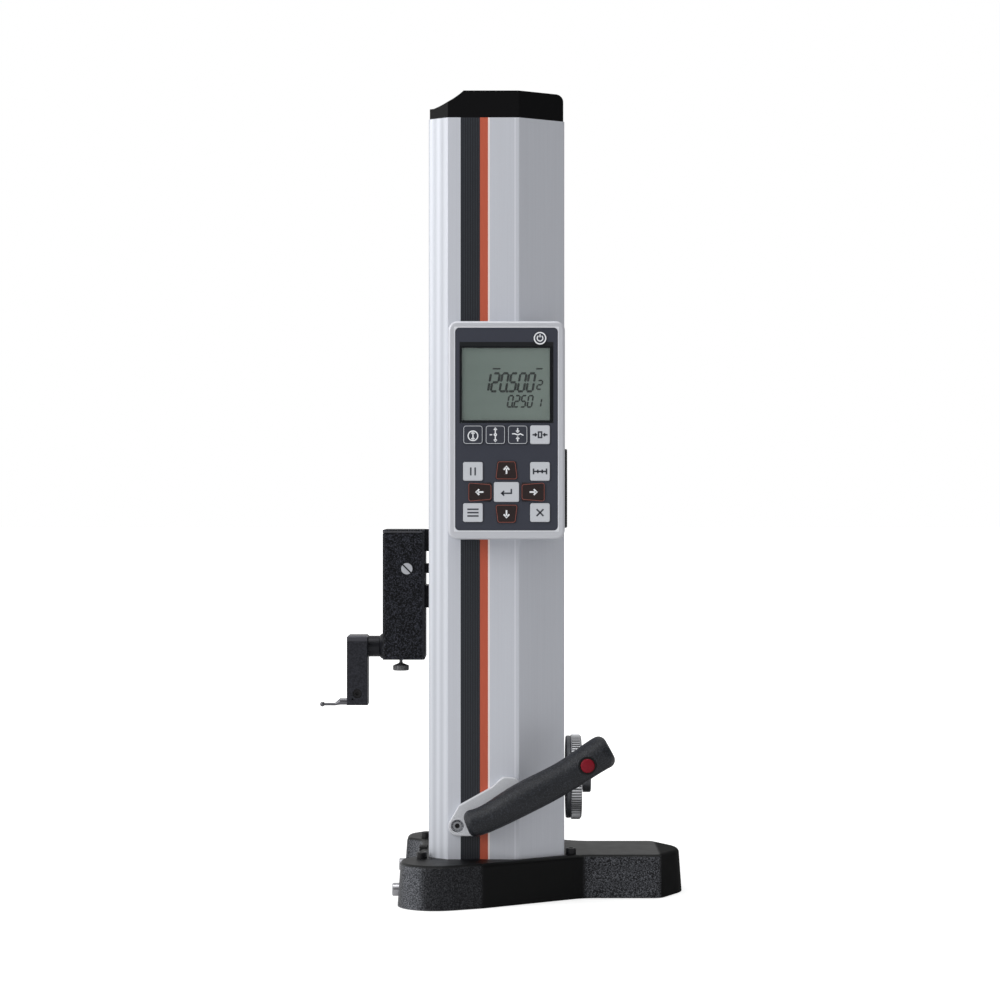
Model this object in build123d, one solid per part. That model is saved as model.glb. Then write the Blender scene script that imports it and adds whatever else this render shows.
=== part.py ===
from build123d import *
import os
from math import cos, pi, radians, sin, tan

# A digital height gauge: a cast base that floats on air pads, a guide column under aluminium covers, a
# slider with a turnable probe arm that a handwheel lifts through a steel band and a counterweight, a
# display unit with keys, and a rubber grip with the air button.
#
# Millimetres, +Z up. The origin is the middle of the base, on the surface plate. +X points from the
# probe to the handwheel, and -Y faces the operator, who sees the display.

# ---------------------------------------------------------------- driving dimensions

RUNNING_FIT = 0.05          # radial play of a shaft in its bore
SLIDE_GAP = 0.3             # gap between pieces that slide or turn past each other
SEAT_PLAY = 0.15            # play of a fixed piece in its pocket
SCREW_PLAY = 0.2            # radial play of a screw in its hole

# Base casting
BASE_LENGTH = 279.2
BASE_WIDTH = 273.0
BASE_HEIGHT = 41.8
BASE_DRAFT = 4.0            # degrees that every outer wall leans inwards
BASE_EDGE_RADIUS = 4.0
FOOT_CORNER_RADIUS = 36.0
FOOT_REACH = 45.6           # length of a foot's outer side along X, up to the heel
HEEL_RADIUS = 45.0
HIP_FROM_FRONT = 82.6       # where the foot's curve ends and the flank starts
HIP_FROM_SIDE = 16.5
HIP_RADIUS = 8.0
WAIST_FROM_TAIL = 99.6      # where the flank meets the tail
WAIST_RADIUS = 40.0
TAIL_WIDTH = 114.0
TAIL_SLANT = 24.1           # length along X of the tail's slanting end faces
TAIL_CORNER_RADIUS = 12.0
TAIL_TIP_WIDTH = 28.0
TAIL_TIP_RADIUS = 50.0
NOTCH_DEPTH = 16.1          # the shallow recess between the feet
NOTCH_BACK_WIDTH = 116.0
NOTCH_MOUTH_WIDTH = 152.0
NOTCH_RADIUS = 26.0
TOE_RADIUS = 9.0
DECK_WALL = 12.0            # thickness of the casting's top
WEB_WIDTH = 24.0            # cross wall between the two pockets
FRONT_POCKET_WALL = 31.6    # from the base's front end to the front pocket
FRONT_POCKET_WIDTH = 156.0
REAR_POCKET_WALL = 51.6     # from the tail's end to the rear pocket
REAR_POCKET_WIDTH = 82.0
POCKET_RADIUS = 10.0
COVER_LIP = 4.0             # width of the ledge that carries a bottom cover
COVER_PLATE = 2.5
COVER_RECESS = 1.0
PAD_DIAMETER = 34.0
PAD_THICKNESS = 8.0
PAD_GROOVE_RADIUS = 11.0
PAD_GROOVE_WIDTH = 1.6
PAD_GROOVE_DEPTH = 0.8
PAD_ORIFICE = 1.2
FRONT_PAD_INSET = 28.6      # from the base's front end
SIDE_PAD_INSET = 29.5       # from the base's side
TAIL_PAD_INSET = 27.6       # from the tail's end

# Screws in the base
DECK_SCREW_HEAD = 10.0
DECK_SCREW_HEIGHT = 6.0
DECK_SCREW_SHANK = 6.0
DECK_SCREW_LENGTH = 10.0
FRONT_SCREW_INSET = 22.6    # from the base's front end
FRONT_SCREW_Y = 76.0
REAR_SCREW_GAP = 6.6        # behind the column
REAR_SCREW_Y = -47.0
TOE_SCREW_HEAD = 12.5
TOE_SCREW_HEIGHT = 7.0
TOE_SCREW_SHANK = 8.0
TOE_SCREW_LENGTH = 18.0
TOE_SCREW_INSET = 10.0      # from the notch's mouth
TOE_SCREW_Z = 13.0

# Air pump and battery in the pockets
PUMP_LENGTH = 64.0
PUMP_WIDTH = 32.0
PUMP_HEIGHT = 20.0
PUMP_MOTOR_DIAMETER = 20.0
PUMP_MOTOR_LENGTH = 22.0
PUMP_Y = 54.0
BATTERY_END_GAP = 9.0       # to each end of the pocket
BATTERY_CELLS = 4
BATTERY_CELL_DIAMETER = 14.5

# Stop pad under the slider
STOP_PAD_LENGTH = 8.0
STOP_PAD_WIDTH = 14.0
STOP_PAD_HEIGHT = 2.0
STOP_PAD_GAP = 3.0          # from the column's front face

# Column covers
COLUMN_SETBACK = 29.1       # from the base's front end to the front face
COLUMN_DEPTH = 131.9        # from the front face to the rear face
COLUMN_WIDTH = 168.8
COLUMN_HEIGHT = 716.0       # above the base
COVER_WALL = 3.0
FACET_DEPTH = 18.4          # front corner facets, along X and Y
FACET_WIDTH = 14.4
CHAMFER_DEPTH = 44.3        # rear corner chamfers, along X and Y
CHAMFER_WIDTH = 29.4
COVER_EDGE_RADIUS = 2.5
SLOT_WIDTH = 45.0           # front slot that the slider's bracket passes
STRIPE_FROM_FRONT = 31.1    # from the column's front face to the dark inlay
DARK_STRIPE_WIDTH = 18.7
DARK_STRIPE_DEPTH = 1.2
DARK_STRIPE_FLUTES = 8
FLUTE_DEPTH = 0.6
ORANGE_STRIPE_WIDTH = 7.7
ORANGE_STRIPE_DEPTH = 0.6

# Top cap
CAP_INSET = 1.0
CAP_HEIGHT = 26.2
CAP_FRONT_HEIGHT = 10.0
CAP_LEDGE = 4.0             # flat front part of the cap's top
CAP_SLOPE_LENGTH = 29.0
CAP_SLOPE_SAG = 2.2         # how far the sloping part is hollowed
CAP_REAR_RADIUS = 7.0
CAP_PLUG_DEPTH = 8.0

# Guide column, rail and scale
GUIDE_SETBACK = 38.5        # from the column's front face
GUIDE_WIDTH = 56.0
GUIDE_WALL = 10.0
GUIDE_TOP_GAP = 23.0        # down from the covers' top
GUIDE_SCREW = 5.0
GUIDE_SCREW_DEPTH = 18.0
GUIDE_SCREW_END_GAP = 3.0
RAIL_WIDTH = 20.0
RAIL_THICKNESS = 12.0
RAIL_GROOVE = 2.0
RAIL_START = 12.0           # above the base
RAIL_END_GAP = 8.0          # below the guide column's top
SCALE_WIDTH = 14.0
SCALE_THICKNESS = 2.0
SCALE_FROM_FRONT = 16.0

# Slider's place and travel
SLIDER_BOTTOM = 189.6       # above the base, at rest
SLIDER_HEIGHT = 128.1
SLIDER_GAP = 5.2            # between the slider and the column
SLIDER_DEPTH = 41.3
SLIDER_WIDTH = 76.0
SLIDER_WALL = 2.5
SLIDER_CORNER_RADIUS = 3.0
SLIDER_EDGE_RADIUS = 1.2
SLIDER_LID = 3.4            # from the slider's top to the seam round it
SEAM_WIDTH = 0.6
SEAM_DEPTH = 0.5
FLANGE_THICKNESS = 2.0
BRIDGE_WIDTH = 40.0
BRIDGES = ((50.6, 72.8), (84.7, 93.8), (106.4, 128.2))  # heights of the bridges above the slider's bottom
CARRIAGE_PLATE = 7.0
CARRIAGE_PLATE_WIDTH = 88.0
CARRIAGE_PLATE_DROP = 9.0   # from the slider's bottom up to the plate's lower edge
BEARING_WIDTH = 44.0
BEARING_LENGTH = 44.0
BEARING_THICKNESS = 14.0    # in front of the rail
BEARING_LIFT = 3.0          # from the guide column to the bearing block
BEARINGS = (15.0, 78.0)     # heights of the two blocks above the slider's bottom
BAND_ARM_THICKNESS = 6.0
BAND_ARM_HEIGHT = 30.0
BAND_ARM_RISE = 87.0        # above the slider's bottom
READ_HEAD_HEIGHT = 34.0
READ_HEAD_RISE = 60.0
READ_HEAD_DEPTH = 26.0
READ_HEAD_THICKNESS = 10.0
READ_HEAD_GAP = 0.6

# Probe spindle, arm and stylus
SPINDLE_RISE = 11.4         # above the slider's bottom
SPINDLE_DIAMETER = 12.0
COLLAR_DIAMETER = 21.0
COLLAR_LENGTH = 11.0
NOSE_DIAMETER = 24.6
NOSE_LENGTH = 4.3
NOSE_TAPER = 1.8
BEARING_BLOCK_WIDTH = 34.0
BEARING_BLOCK_LENGTH = 28.0
BEARING_BLOCK_HEIGHT = 24.0
SPINDLE_WASHER = 16.0
SPINDLE_WASHER_LENGTH = 2.0
ARM_THICKNESS = 20.8
ARM_WIDTH = 32.0
ARM_TOP = 11.3              # above the spindle's axis
ARM_DROP = 57.8             # below it
ARM_CHAMFER = 1.6
ARM_EDGE_RADIUS = 0.8
STYLUS_DROP = 55.3          # from the spindle's axis down to the stylus body's axis
STYLUS_BODY = 6.6
STYLUS_SEAT = 16.0          # length of the stylus inside the arm
STYLUS_BODY_LENGTH = 7.6
STYLUS_TAPER_LENGTH = 4.8
STYLUS_STEM = 2.9
STYLUS_STEM_DROP = 2.6      # how far the stem's axis lies under the body's axis
STYLUS_REACH = 25.2         # from the arm to the ball's middle
BALL_DIAMETER = 5.0
CLAMP_SCREW_DIAMETER = 7.6
CLAMP_SCREW_FROM_FRONT = 10.4
CLAMP_SCREW_RISE = 11.5     # above the arm's lower end
CLAMP_SCREW_RECESS = 1.0
VENT_DIAMETER = 2.2
VENT_FROM_FRONT = 5.7
VENT_RISE = 6.0
VENT_DEPTH = 4.0

# Clamp knob under the slider, and the side screw
KNOB_FROM_FRONT = 16.8      # from the slider's front wall to the knob's axis
KNOB_DIAMETER = 16.0
KNOB_DISC = 5.4
KNOB_CROWN = 1.8
KNOB_DROP = 7.4             # from the slider's bottom to the disc
KNOB_NECK = 3.2
KNOB_FLUTES = 18
KNOB_FLUTE_RADIUS = 0.7
SIDE_SCREW_DIAMETER = 12.0
SIDE_SCREW_HEAD = 1.2
SIDE_SCREW_SHANK = 6.0
SIDE_SCREW_LENGTH = 8.0
SIDE_SCREW_FROM_FRONT = 24.0
SIDE_SCREW_RISE = 89.6
SCREW_SLOT = 1.6

# Band drive, counterweight and handwheel
WHEEL_AXIS = 70.8           # above the base
IDLER_DROP = 35.0           # down from the guide column's top
BAND_SETBACK = 21.4         # from the column's rear face to the band's middle
BAND_FROM_GUIDE = 22.0      # from the guide column's rear face
DRUM_RADIUS = 15.9
BAND_WIDTH = 10.0
BAND_THICKNESS = 0.8
DRUM_FLANGE = 3.0           # height and thickness of the drums' flanges
DRUM_FLANGE_THICKNESS = 1.8
SHAFT_DIAMETER = 10.0
SHAFT_BEARING_DIAMETER = 26.0
SHAFT_BEARING_WIDTH = 8.0
SHAFT_BEARING_INSET = 1.0
IDLER_AXLE = 8.0
IDLER_BRACKET_WIDTH = 40.0
IDLER_BRACKET_HEIGHT = 46.0
IDLER_BRACKET_PLATE = 7.0
IDLER_BOSS = 16.0
RETAINING_RING = 1.5
JAW_THICKNESS = 2.6         # metal that grips the band on each side
WEIGHT_BOTTOM = 288.0       # above the base, at rest
WEIGHT_LENGTH = 150.0
WEIGHT_DEPTH = 31.0
WEIGHT_OFFSET = -3.5        # from the band's middle plane to the weight's middle
WEIGHT_WIDTH = 35.0
WEIGHT_EDGE = 2.0
WEIGHT_CLAMP_LENGTH = 30.0
WHEEL_GAP = 2.6             # between the column's rear face and the wheel
WHEEL_DIAMETER = 84.4
WHEEL_FLANGE = 4.0
WHEEL_FLANGE_STEP = 1.2
RIM_WIDTH = 11.5
RIM_CHAMFER = 1.6
RIM_RIDGES = 90
RIDGE_HEIGHT = 0.7
RIM_DISH_DEPTH = 4.0
RIM_DISH_INNER = 21.0
RIM_DISH_OUTER = 36.0
HUB_DIAMETER = 26.0
HUB_KNOB_DIAMETER = 31.0
HUB_KNOB_WIDTH = 8.0
HUB_KNOB_GAP = 1.6
HUB_KNOB_RADIUS = 1.6
SHAFT_END_COVER = 3.0       # knob metal that closes the shaft's end

# Rear connector panel
CONNECTOR_BOTTOM = 319.2    # above the base
CONNECTOR_HEIGHT = 78.0
CONNECTOR_WIDTH = 46.0
CONNECTOR_THICKNESS = 3.6
CONNECTOR_RADIUS = 4.0
JACK_DIAMETER = 8.0
JACK_PIN = 2.0
JACK_DEPTH = 6.0
PORT_WIDTH = 16.0
PORT_HEIGHT = 7.0
CONNECTOR_PITCH = 26.0

# Display unit
DISPLAY_LEFT = 19.5         # from the column's front face
DISPLAY_WIDTH = 111.6
DISPLAY_BOTTOM = 309.1      # above the base
DISPLAY_HEIGHT = 208.6
DISPLAY_DEPTH = 28.0
DISPLAY_BACK_WALL = 3.0
DISPLAY_CORNER_RADIUS = 9.0
DISPLAY_EDGE_RADIUS = 2.6
BEZEL_SIDE = 6.7
BEZEL_TOP = 6.3
BEZEL_BOTTOM = 8.6
PANEL_THICKNESS = 3.0
PANEL_RECESS = 0.3
PANEL_LEDGE = 2.0
PANEL_RADIUS = 4.0
WINDOW_WIDTH = 88.4
WINDOW_TOP_GAP = 18.0       # from the panel's upper edge
WINDOW_KEY_GAP = 2.9        # down to the upper keys
WINDOW_THICKNESS = 1.6
WINDOW_RADIUS = 1.5
LCD_THICKNESS = 6.0
LCD_MARGIN = 0.6

# Keys
KEY_WIDTH = 18.7
KEY_HEIGHT = 17.8
KEY_RADIUS = 1.8
KEY_PITCH = 21.33
KEY_RISE = 1.2              # how far a key stands out of the panel
KEY_DEPTH = 5.5
KEY_PLAY = 0.25
KEY_FLANGE = 0.9
TOP_ROW = 91.4              # heights of the key rows above the panel's lower edge
UPPER_ROW = 56.4
LOWER_ROW = 17.1
ENTER_WIDTH = 24.0
ENTER_HEIGHT = 18.9
ARROW_LONG = 20.8           # the arrow keys narrow away from the middle key
ARROW_SHORT = 17.5
ARROW_HEIGHT = 17.2
SIDE_ARROW_WIDTH = 22.0
SIDE_ARROW_LONG = 17.9
SIDE_ARROW_SHORT = 15.0
ARROW_OFFSET_X = 25.4
ARROW_OFFSET_Z = 20.7
POWER_KEY_DIAMETER = 12.2
POWER_KEY_DROP = 10.2       # from the panel's upper edge

# Grip, its bracket and the air button
BRACKET_THICKNESS = 7.0
POST_DIAMETER = 12.0
POST_LENGTH = 11.0
BRACKET_SCREW_HEAD = 9.4
BRACKET_SCREW_HEIGHT = 3.4
BRACKET_SCREW_SHANK = 5.0
BRACKET_SCREW_RECESS = 4.0
BRACKET_RECESS_DIAMETER = 12.4
GRIP_STANDOFF = 23.6        # from the column's side to the grip's axis
GRIP_END_RADIUS = 7.0
GRIP_HEAD_RADIUS = 8.0
BUTTON_DIAMETER = 13.4
BUTTON_RISE = 1.4
BUTTON_LENGTH = 9.0
BUTTON_TRAVEL = 2.5
BUTTON_RING = 1.4
BUTTON_EDGE = 1.0

# ---------------------------------------------------------------- places worked out from them

DECK = BASE_HEIGHT
BASE_FRONT = -BASE_LENGTH / 2
POCKET_TOP = BASE_HEIGHT - DECK_WALL
COLUMN_FRONT = BASE_FRONT + COLUMN_SETBACK
COLUMN_REAR = COLUMN_FRONT + COLUMN_DEPTH
SIDE = COLUMN_WIDTH / 2
BAND_PLANE = COLUMN_REAR - BAND_SETBACK
GUIDE_FRONT = COLUMN_FRONT + GUIDE_SETBACK
GUIDE_REAR = BAND_PLANE - BAND_FROM_GUIDE
COVER_TOP = DECK + COLUMN_HEIGHT
GUIDE_TOP = COVER_TOP - GUIDE_TOP_GAP
SLIDER_REAR = COLUMN_FRONT - SLIDER_GAP
SLIDER_FRONT = SLIDER_REAR - SLIDER_DEPTH
SLIDER_BASE = DECK + SLIDER_BOTTOM
SLIDER_TOP = SLIDER_BASE + SLIDER_HEIGHT
RAIL_FRONT = GUIDE_FRONT - RAIL_THICKNESS
BLOCK_FRONT = RAIL_FRONT - BEARING_THICKNESS
PLATE_FRONT = BLOCK_FRONT - CARRIAGE_PLATE
SPINDLE_Z = SLIDER_BASE + SPINDLE_RISE
WHEEL_Z = DECK + WHEEL_AXIS
IDLER_Z = GUIDE_TOP - IDLER_DROP
BAND_INNER = DRUM_RADIUS + SLIDE_GAP
BAND_OUTER = BAND_INNER + BAND_THICKNESS
DRUM_HALF = BAND_WIDTH / 2 + SLIDE_GAP + DRUM_FLANGE_THICKNESS
WHEEL_BACK = COLUMN_REAR + WHEEL_GAP
PANEL_LEFT = COLUMN_FRONT + DISPLAY_LEFT + BEZEL_SIDE
PANEL_WIDTH = DISPLAY_WIDTH - 2 * BEZEL_SIDE
PANEL_BOTTOM = DECK + DISPLAY_BOTTOM + BEZEL_BOTTOM
PANEL_HEIGHT = DISPLAY_HEIGHT - BEZEL_BOTTOM - BEZEL_TOP
PANEL_TOP = PANEL_BOTTOM + PANEL_HEIGHT
PANEL_MIDDLE = PANEL_LEFT + PANEL_WIDTH / 2
WINDOW_TOP = PANEL_TOP - WINDOW_TOP_GAP
WINDOW_HEIGHT = WINDOW_TOP - (PANEL_BOTTOM + TOP_ROW + KEY_HEIGHT / 2 + WINDOW_KEY_GAP)
DISPLAY_FRONT = -SIDE - DISPLAY_DEPTH
PANEL_FRONT = DISPLAY_FRONT + PANEL_RECESS
PANEL_BACK = PANEL_FRONT + PANEL_THICKNESS
GRIP_Y = -SIDE - GRIP_STANDOFF


# ---------------------------------------------------------------- shapes used by many pieces

def middle(limits):
    return (limits[0] + limits[1]) / 2


def length(limits):
    return limits[1] - limits[0]


def block(x, y, z):
    """A box between its limits along each axis."""
    return Pos(middle(x), middle(y), middle(z)) * Box(length(x), length(y), length(z))


def rod_x(diameter, x, y, z):
    """A cylinder along X between the limits x, on the axis through (y, z)."""
    return Pos(middle(x), y, z) * Rot(0, 90, 0) * Cylinder(diameter / 2, length(x))


def rod_y(diameter, x, y, z):
    """A cylinder along Y between the limits y."""
    return Pos(x, middle(y), z) * Rot(90, 0, 0) * Cylinder(diameter / 2, length(y))


def rod_z(diameter, x, y, z):
    """A cylinder along Z between the limits z."""
    return Pos(x, y, middle(z)) * Cylinder(diameter / 2, length(z))


def outline(points, radii=None):
    """A face inside straight runs through the points, with a fillet at each."""
    if radii is None:
        return make_face(Polyline(*points, close=True))
    return make_face(FilletPolyline(*points, radius=radii, close=True))


def prism_z(face, z):
    """A plan outline, raised between the limits z."""
    return Pos(0, 0, z[0]) * extrude(face, length(z))


def prism_y(face, y):
    """An outline in X and Z, given depth between the limits y."""
    return Pos(0, y[1], 0) * extrude(Plane.XZ * face, length(y))


def prism_x(face, x):
    """An outline in Y and Z, given depth between the limits x."""
    return Pos(x[0], 0, 0) * extrude(Plane.YZ * face, length(x))


def both_sides(piece):
    """A piece and its mirror image in the middle plane, as two solids."""
    return group([piece, mirror(piece, about=Plane.XZ)])


def group(pieces):
    """Separate solids that share one node."""
    return Compound(children=[solid for piece in pieces for solid in piece.solids()])


def socket_screw(head, height, shank, depth):
    """A socket-head screw that points down, with the underside of its head at the origin."""
    body = rod_z(head, 0, 0, (0, height)) + rod_z(shank, 0, 0, (-depth, 0))
    body = chamfer(body.edges().group_by(Axis.Z)[-1], 0.06 * head)
    socket = extrude(RegularPolygon(0.27 * head, 6), height * 0.6)
    return body - Pos(0, 0, height * 0.4) * socket


# ---------------------------------------------------------------- base

def move_inwards(corners, inset):
    """Corners (point, fillet) of a clockwise outline moved inwards, each fillet on its old centre."""
    moved = []
    for place, (point, radius) in enumerate(corners):
        point = Vector(*point)
        before = (point - Vector(*corners[place - 1][0])).normalized()
        after = (Vector(*corners[(place + 1) % len(corners)][0]) - point).normalized()
        sideways = Vector(before.Y, -before.X) + Vector(after.Y, -after.X)
        point += sideways * (inset / (1 + before.dot(after)))
        bulges = before.cross(after).Z < 0
        moved.append(((point.X, point.Y), radius - inset if bulges else radius + inset))
    return moved


def base_outline(inset=0.0):
    """The base's plan: two feet, two flanks, a blunt tail and the front notch."""
    side = BASE_WIDTH / 2
    tail = TAIL_WIDTH / 2
    half = [
        ((BASE_FRONT + NOTCH_DEPTH, NOTCH_BACK_WIDTH / 2), NOTCH_RADIUS),
        ((BASE_FRONT, NOTCH_MOUTH_WIDTH / 2), TOE_RADIUS),
        ((BASE_FRONT, side), FOOT_CORNER_RADIUS),
        ((BASE_FRONT + FOOT_REACH, side), HEEL_RADIUS),
        ((BASE_FRONT + HIP_FROM_FRONT, side - HIP_FROM_SIDE), HIP_RADIUS),
        ((-BASE_FRONT - WAIST_FROM_TAIL, tail), WAIST_RADIUS),
        ((-BASE_FRONT - TAIL_SLANT, tail), TAIL_CORNER_RADIUS),
        ((-BASE_FRONT, TAIL_TIP_WIDTH / 2), TAIL_TIP_RADIUS),
    ]
    far = [((x, -y), radius) for (x, y), radius in reversed(half)]
    corners = move_inwards(half + far, inset)
    return outline([point for point, _ in corners], [radius for _, radius in corners])


def pocket_limits():
    """The two pockets under the deck: limits along X, and the width."""
    return (
        ((BASE_FRONT + FRONT_POCKET_WALL, BAND_PLANE - WEB_WIDTH / 2), FRONT_POCKET_WIDTH),
        ((BAND_PLANE + WEB_WIDTH / 2, -BASE_FRONT - REAR_POCKET_WALL), REAR_POCKET_WIDTH),
    )


def pocket_plan(limits, width, growth=0.0):
    shape = RectangleRounded(length(limits) + 2 * growth, width + 2 * growth, POCKET_RADIUS + growth)
    return Pos(middle(limits), 0) * shape


def pad_places():
    x = BASE_FRONT + FRONT_PAD_INSET
    y = BASE_WIDTH / 2 - SIDE_PAD_INSET
    return ((x, -y), (x, y), (-BASE_FRONT - TAIL_PAD_INSET, 0))


def deck_screw_places():
    front = BASE_FRONT + FRONT_SCREW_INSET
    return ((front, -FRONT_SCREW_Y), (front, FRONT_SCREW_Y), (COLUMN_REAR + REAR_SCREW_GAP, REAR_SCREW_Y))


def guide_screw_places():
    inset = GUIDE_WALL / 2
    return [(x, side * (GUIDE_WIDTH / 2 - inset)) for x in (GUIDE_FRONT + inset, GUIDE_REAR - inset)
            for side in (-1, 1)]


def toe_screw_y():
    return NOTCH_MOUTH_WIDTH / 2 + TOE_SCREW_INSET


def toe_seat():
    """X of the flat seats that are cut into the leaning toes for the screws' heads."""
    return BASE_FRONT + (TOE_SCREW_Z + TOE_SCREW_HEAD / 2) * tan(radians(BASE_DRAFT))


def base_casting():
    lean = BASE_HEIGHT * tan(radians(BASE_DRAFT))
    casting = loft([base_outline(), Pos(0, 0, BASE_HEIGHT) * base_outline(lean)], ruled=True)
    casting = fillet(casting.edges().group_by(Axis.Z)[-1], BASE_EDGE_RADIUS)
    ledge = COVER_RECESS + COVER_PLATE
    for limits, width in pocket_limits():
        casting -= prism_z(pocket_plan(limits, width), (0, POCKET_TOP))
        casting -= prism_z(pocket_plan(limits, width, COVER_LIP), (0, ledge))
    for x, y in pad_places():
        casting -= rod_z(PAD_DIAMETER + 2 * SEAT_PLAY, x, y, (0, PAD_THICKNESS))
    hole = DECK_SCREW_SHANK + 2 * SCREW_PLAY
    for x, y in deck_screw_places():
        casting -= rod_z(hole, x, y, (DECK - DECK_SCREW_LENGTH - 1, DECK + 1))
    for x, y in guide_screw_places():
        casting -= rod_z(GUIDE_SCREW + 2 * SCREW_PLAY, x, y, (POCKET_TOP - 1, DECK + 1))
    start = BASE_FRONT - 1
    hole = TOE_SCREW_SHANK + 2 * SCREW_PLAY
    for side in (-1, 1):
        y = side * toe_screw_y()
        casting -= rod_x(hole, (start, toe_seat() + TOE_SCREW_LENGTH + 1), y, TOE_SCREW_Z)
        casting -= rod_x(TOE_SCREW_HEAD + 2 * SEAT_PLAY, (start, toe_seat()), y, TOE_SCREW_Z)
    return casting


def base_bottom_covers():
    plates = [prism_z(pocket_plan(limits, width, COVER_LIP - SEAT_PLAY),
                      (COVER_RECESS, COVER_RECESS + COVER_PLATE)) for limits, width in pocket_limits()]
    return group(plates)


def air_pads():
    """Lapped pads, level with the casting's sole, each with an air groove round its orifice."""
    groove = rod_z(2 * PAD_GROOVE_RADIUS + PAD_GROOVE_WIDTH, 0, 0, (0, PAD_GROOVE_DEPTH))
    groove -= rod_z(2 * PAD_GROOVE_RADIUS - PAD_GROOVE_WIDTH, 0, 0, (0, PAD_GROOVE_DEPTH))
    pad = rod_z(PAD_DIAMETER, 0, 0, (0, PAD_THICKNESS)) - groove
    pad -= rod_z(PAD_ORIFICE, 0, 0, (0, PAD_THICKNESS))
    return group([Pos(x, y, 0) * pad for x, y in pad_places()])


def air_pump():
    """A diaphragm pump: the pump body with its motor and two hose barbs, on the front bottom cover."""
    floor = COVER_RECESS + COVER_PLATE
    x_middle = middle(pocket_limits()[0][0])
    ends = (x_middle - PUMP_LENGTH / 2, x_middle + PUMP_LENGTH / 2)
    head = (ends[0], ends[1] - PUMP_MOTOR_LENGTH)
    sides = (PUMP_Y - PUMP_WIDTH / 2, PUMP_Y + PUMP_WIDTH / 2)
    body = fillet(block(head, sides, (floor, floor + PUMP_HEIGHT)).edges().filter_by(Axis.X), 2.0)
    body += rod_x(PUMP_MOTOR_DIAMETER, (head[1], ends[1]), PUMP_Y, floor + PUMP_HEIGHT / 2)
    for side in (-1, 1):
        barb_y = PUMP_Y + side * PUMP_WIDTH / 4
        body += rod_x(4.0, (ends[0] - 6, ends[0]), barb_y, floor + PUMP_HEIGHT / 2)
    return body


def battery_pack():
    """Cells side by side in a tray on the rear bottom cover."""
    floor = COVER_RECESS + COVER_PLATE
    pocket = pocket_limits()[1][0]
    ends = (pocket[0] + BATTERY_END_GAP, pocket[1] - BATTERY_END_GAP)
    width = BATTERY_CELLS * BATTERY_CELL_DIAMETER
    tray = block(ends, (-width / 2, width / 2), (floor, floor + BATTERY_CELL_DIAMETER / 2))
    for cell in range(BATTERY_CELLS):
        y = (cell - (BATTERY_CELLS - 1) / 2) * BATTERY_CELL_DIAMETER
        tray += rod_x(BATTERY_CELL_DIAMETER - 0.4, ends, y, floor + BATTERY_CELL_DIAMETER / 2)
    return tray


def base_screws():
    """The three screws on the deck, and four from the front pocket into the guide column's foot."""
    deck = socket_screw(DECK_SCREW_HEAD, DECK_SCREW_HEIGHT, DECK_SCREW_SHANK, DECK_SCREW_LENGTH)
    screws = [Pos(x, y, DECK) * deck for x, y in deck_screw_places()]
    guide = socket_screw(1.7 * GUIDE_SCREW, GUIDE_SCREW, GUIDE_SCREW, DECK_WALL + GUIDE_SCREW_DEPTH - GUIDE_SCREW_END_GAP)
    for x, y in guide_screw_places():
        screws.append(Pos(x, y, POCKET_TOP) * Rot(180, 0, 0) * guide)
    return group(screws)


def steel_screws():
    """The two screws in the toes of the feet and the one that holds the grip's bracket."""
    toe_screw = socket_screw(TOE_SCREW_HEAD, TOE_SCREW_HEIGHT, TOE_SCREW_SHANK, TOE_SCREW_LENGTH)
    toes = [Pos(toe_seat(), side * toe_screw_y(), TOE_SCREW_Z) * Rot(0, -90, 0) * toe_screw
            for side in (-1, 1)]
    x, z = bracket_screw_place()
    screw = socket_screw(BRACKET_SCREW_HEAD, BRACKET_SCREW_HEIGHT, BRACKET_SCREW_SHANK,
                         BRACKET_THICKNESS - BRACKET_SCREW_RECESS)
    seat = -SIDE - BRACKET_THICKNESS + BRACKET_SCREW_RECESS
    return group(toes + [Pos(x, seat, z) * Rot(90, 0, 0) * screw])


def stop_pad():
    """Rubber pad on the deck, under the slider."""
    rear = COLUMN_FRONT - STOP_PAD_GAP
    pad = block((rear - STOP_PAD_LENGTH, rear), (-STOP_PAD_WIDTH / 2, STOP_PAD_WIDTH / 2),
                (DECK - BASE_EDGE_RADIUS, DECK + STOP_PAD_HEIGHT)) - base_casting()
    return chamfer(pad.edges().group_by(Axis.Z)[-1], 0.5)


# ---------------------------------------------------------------- column covers

def column_plan(inset=0.0):
    """The covers' plan: flat sides, small front facets, long rear chamfers."""
    half = [
        (COLUMN_FRONT, SIDE - FACET_WIDTH),
        (COLUMN_FRONT + FACET_DEPTH, SIDE),
        (COLUMN_REAR - CHAMFER_DEPTH, SIDE),
        (COLUMN_REAR, SIDE - CHAMFER_WIDTH),
    ]
    plan = outline(half + [(x, -y) for x, y in reversed(half)])
    if inset:
        plan = offset(plan, -inset, kind=Kind.INTERSECTION)
    return plan


def stripe_limits():
    """Limits along X of the dark and the orange inlay."""
    start = COLUMN_FRONT + STRIPE_FROM_FRONT
    between = start + DARK_STRIPE_WIDTH
    return (start, between), (between, between + ORANGE_STRIPE_WIDTH)


def front_plate_limits():
    return (COLUMN_FRONT, COLUMN_FRONT + COVER_WALL), SIDE - FACET_WIDTH - COVER_WALL / 3


def rear_plate_limits():
    return (COLUMN_REAR - COVER_WALL, COLUMN_REAR), SIDE - CHAMFER_WIDTH - COVER_WALL / 3


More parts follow.
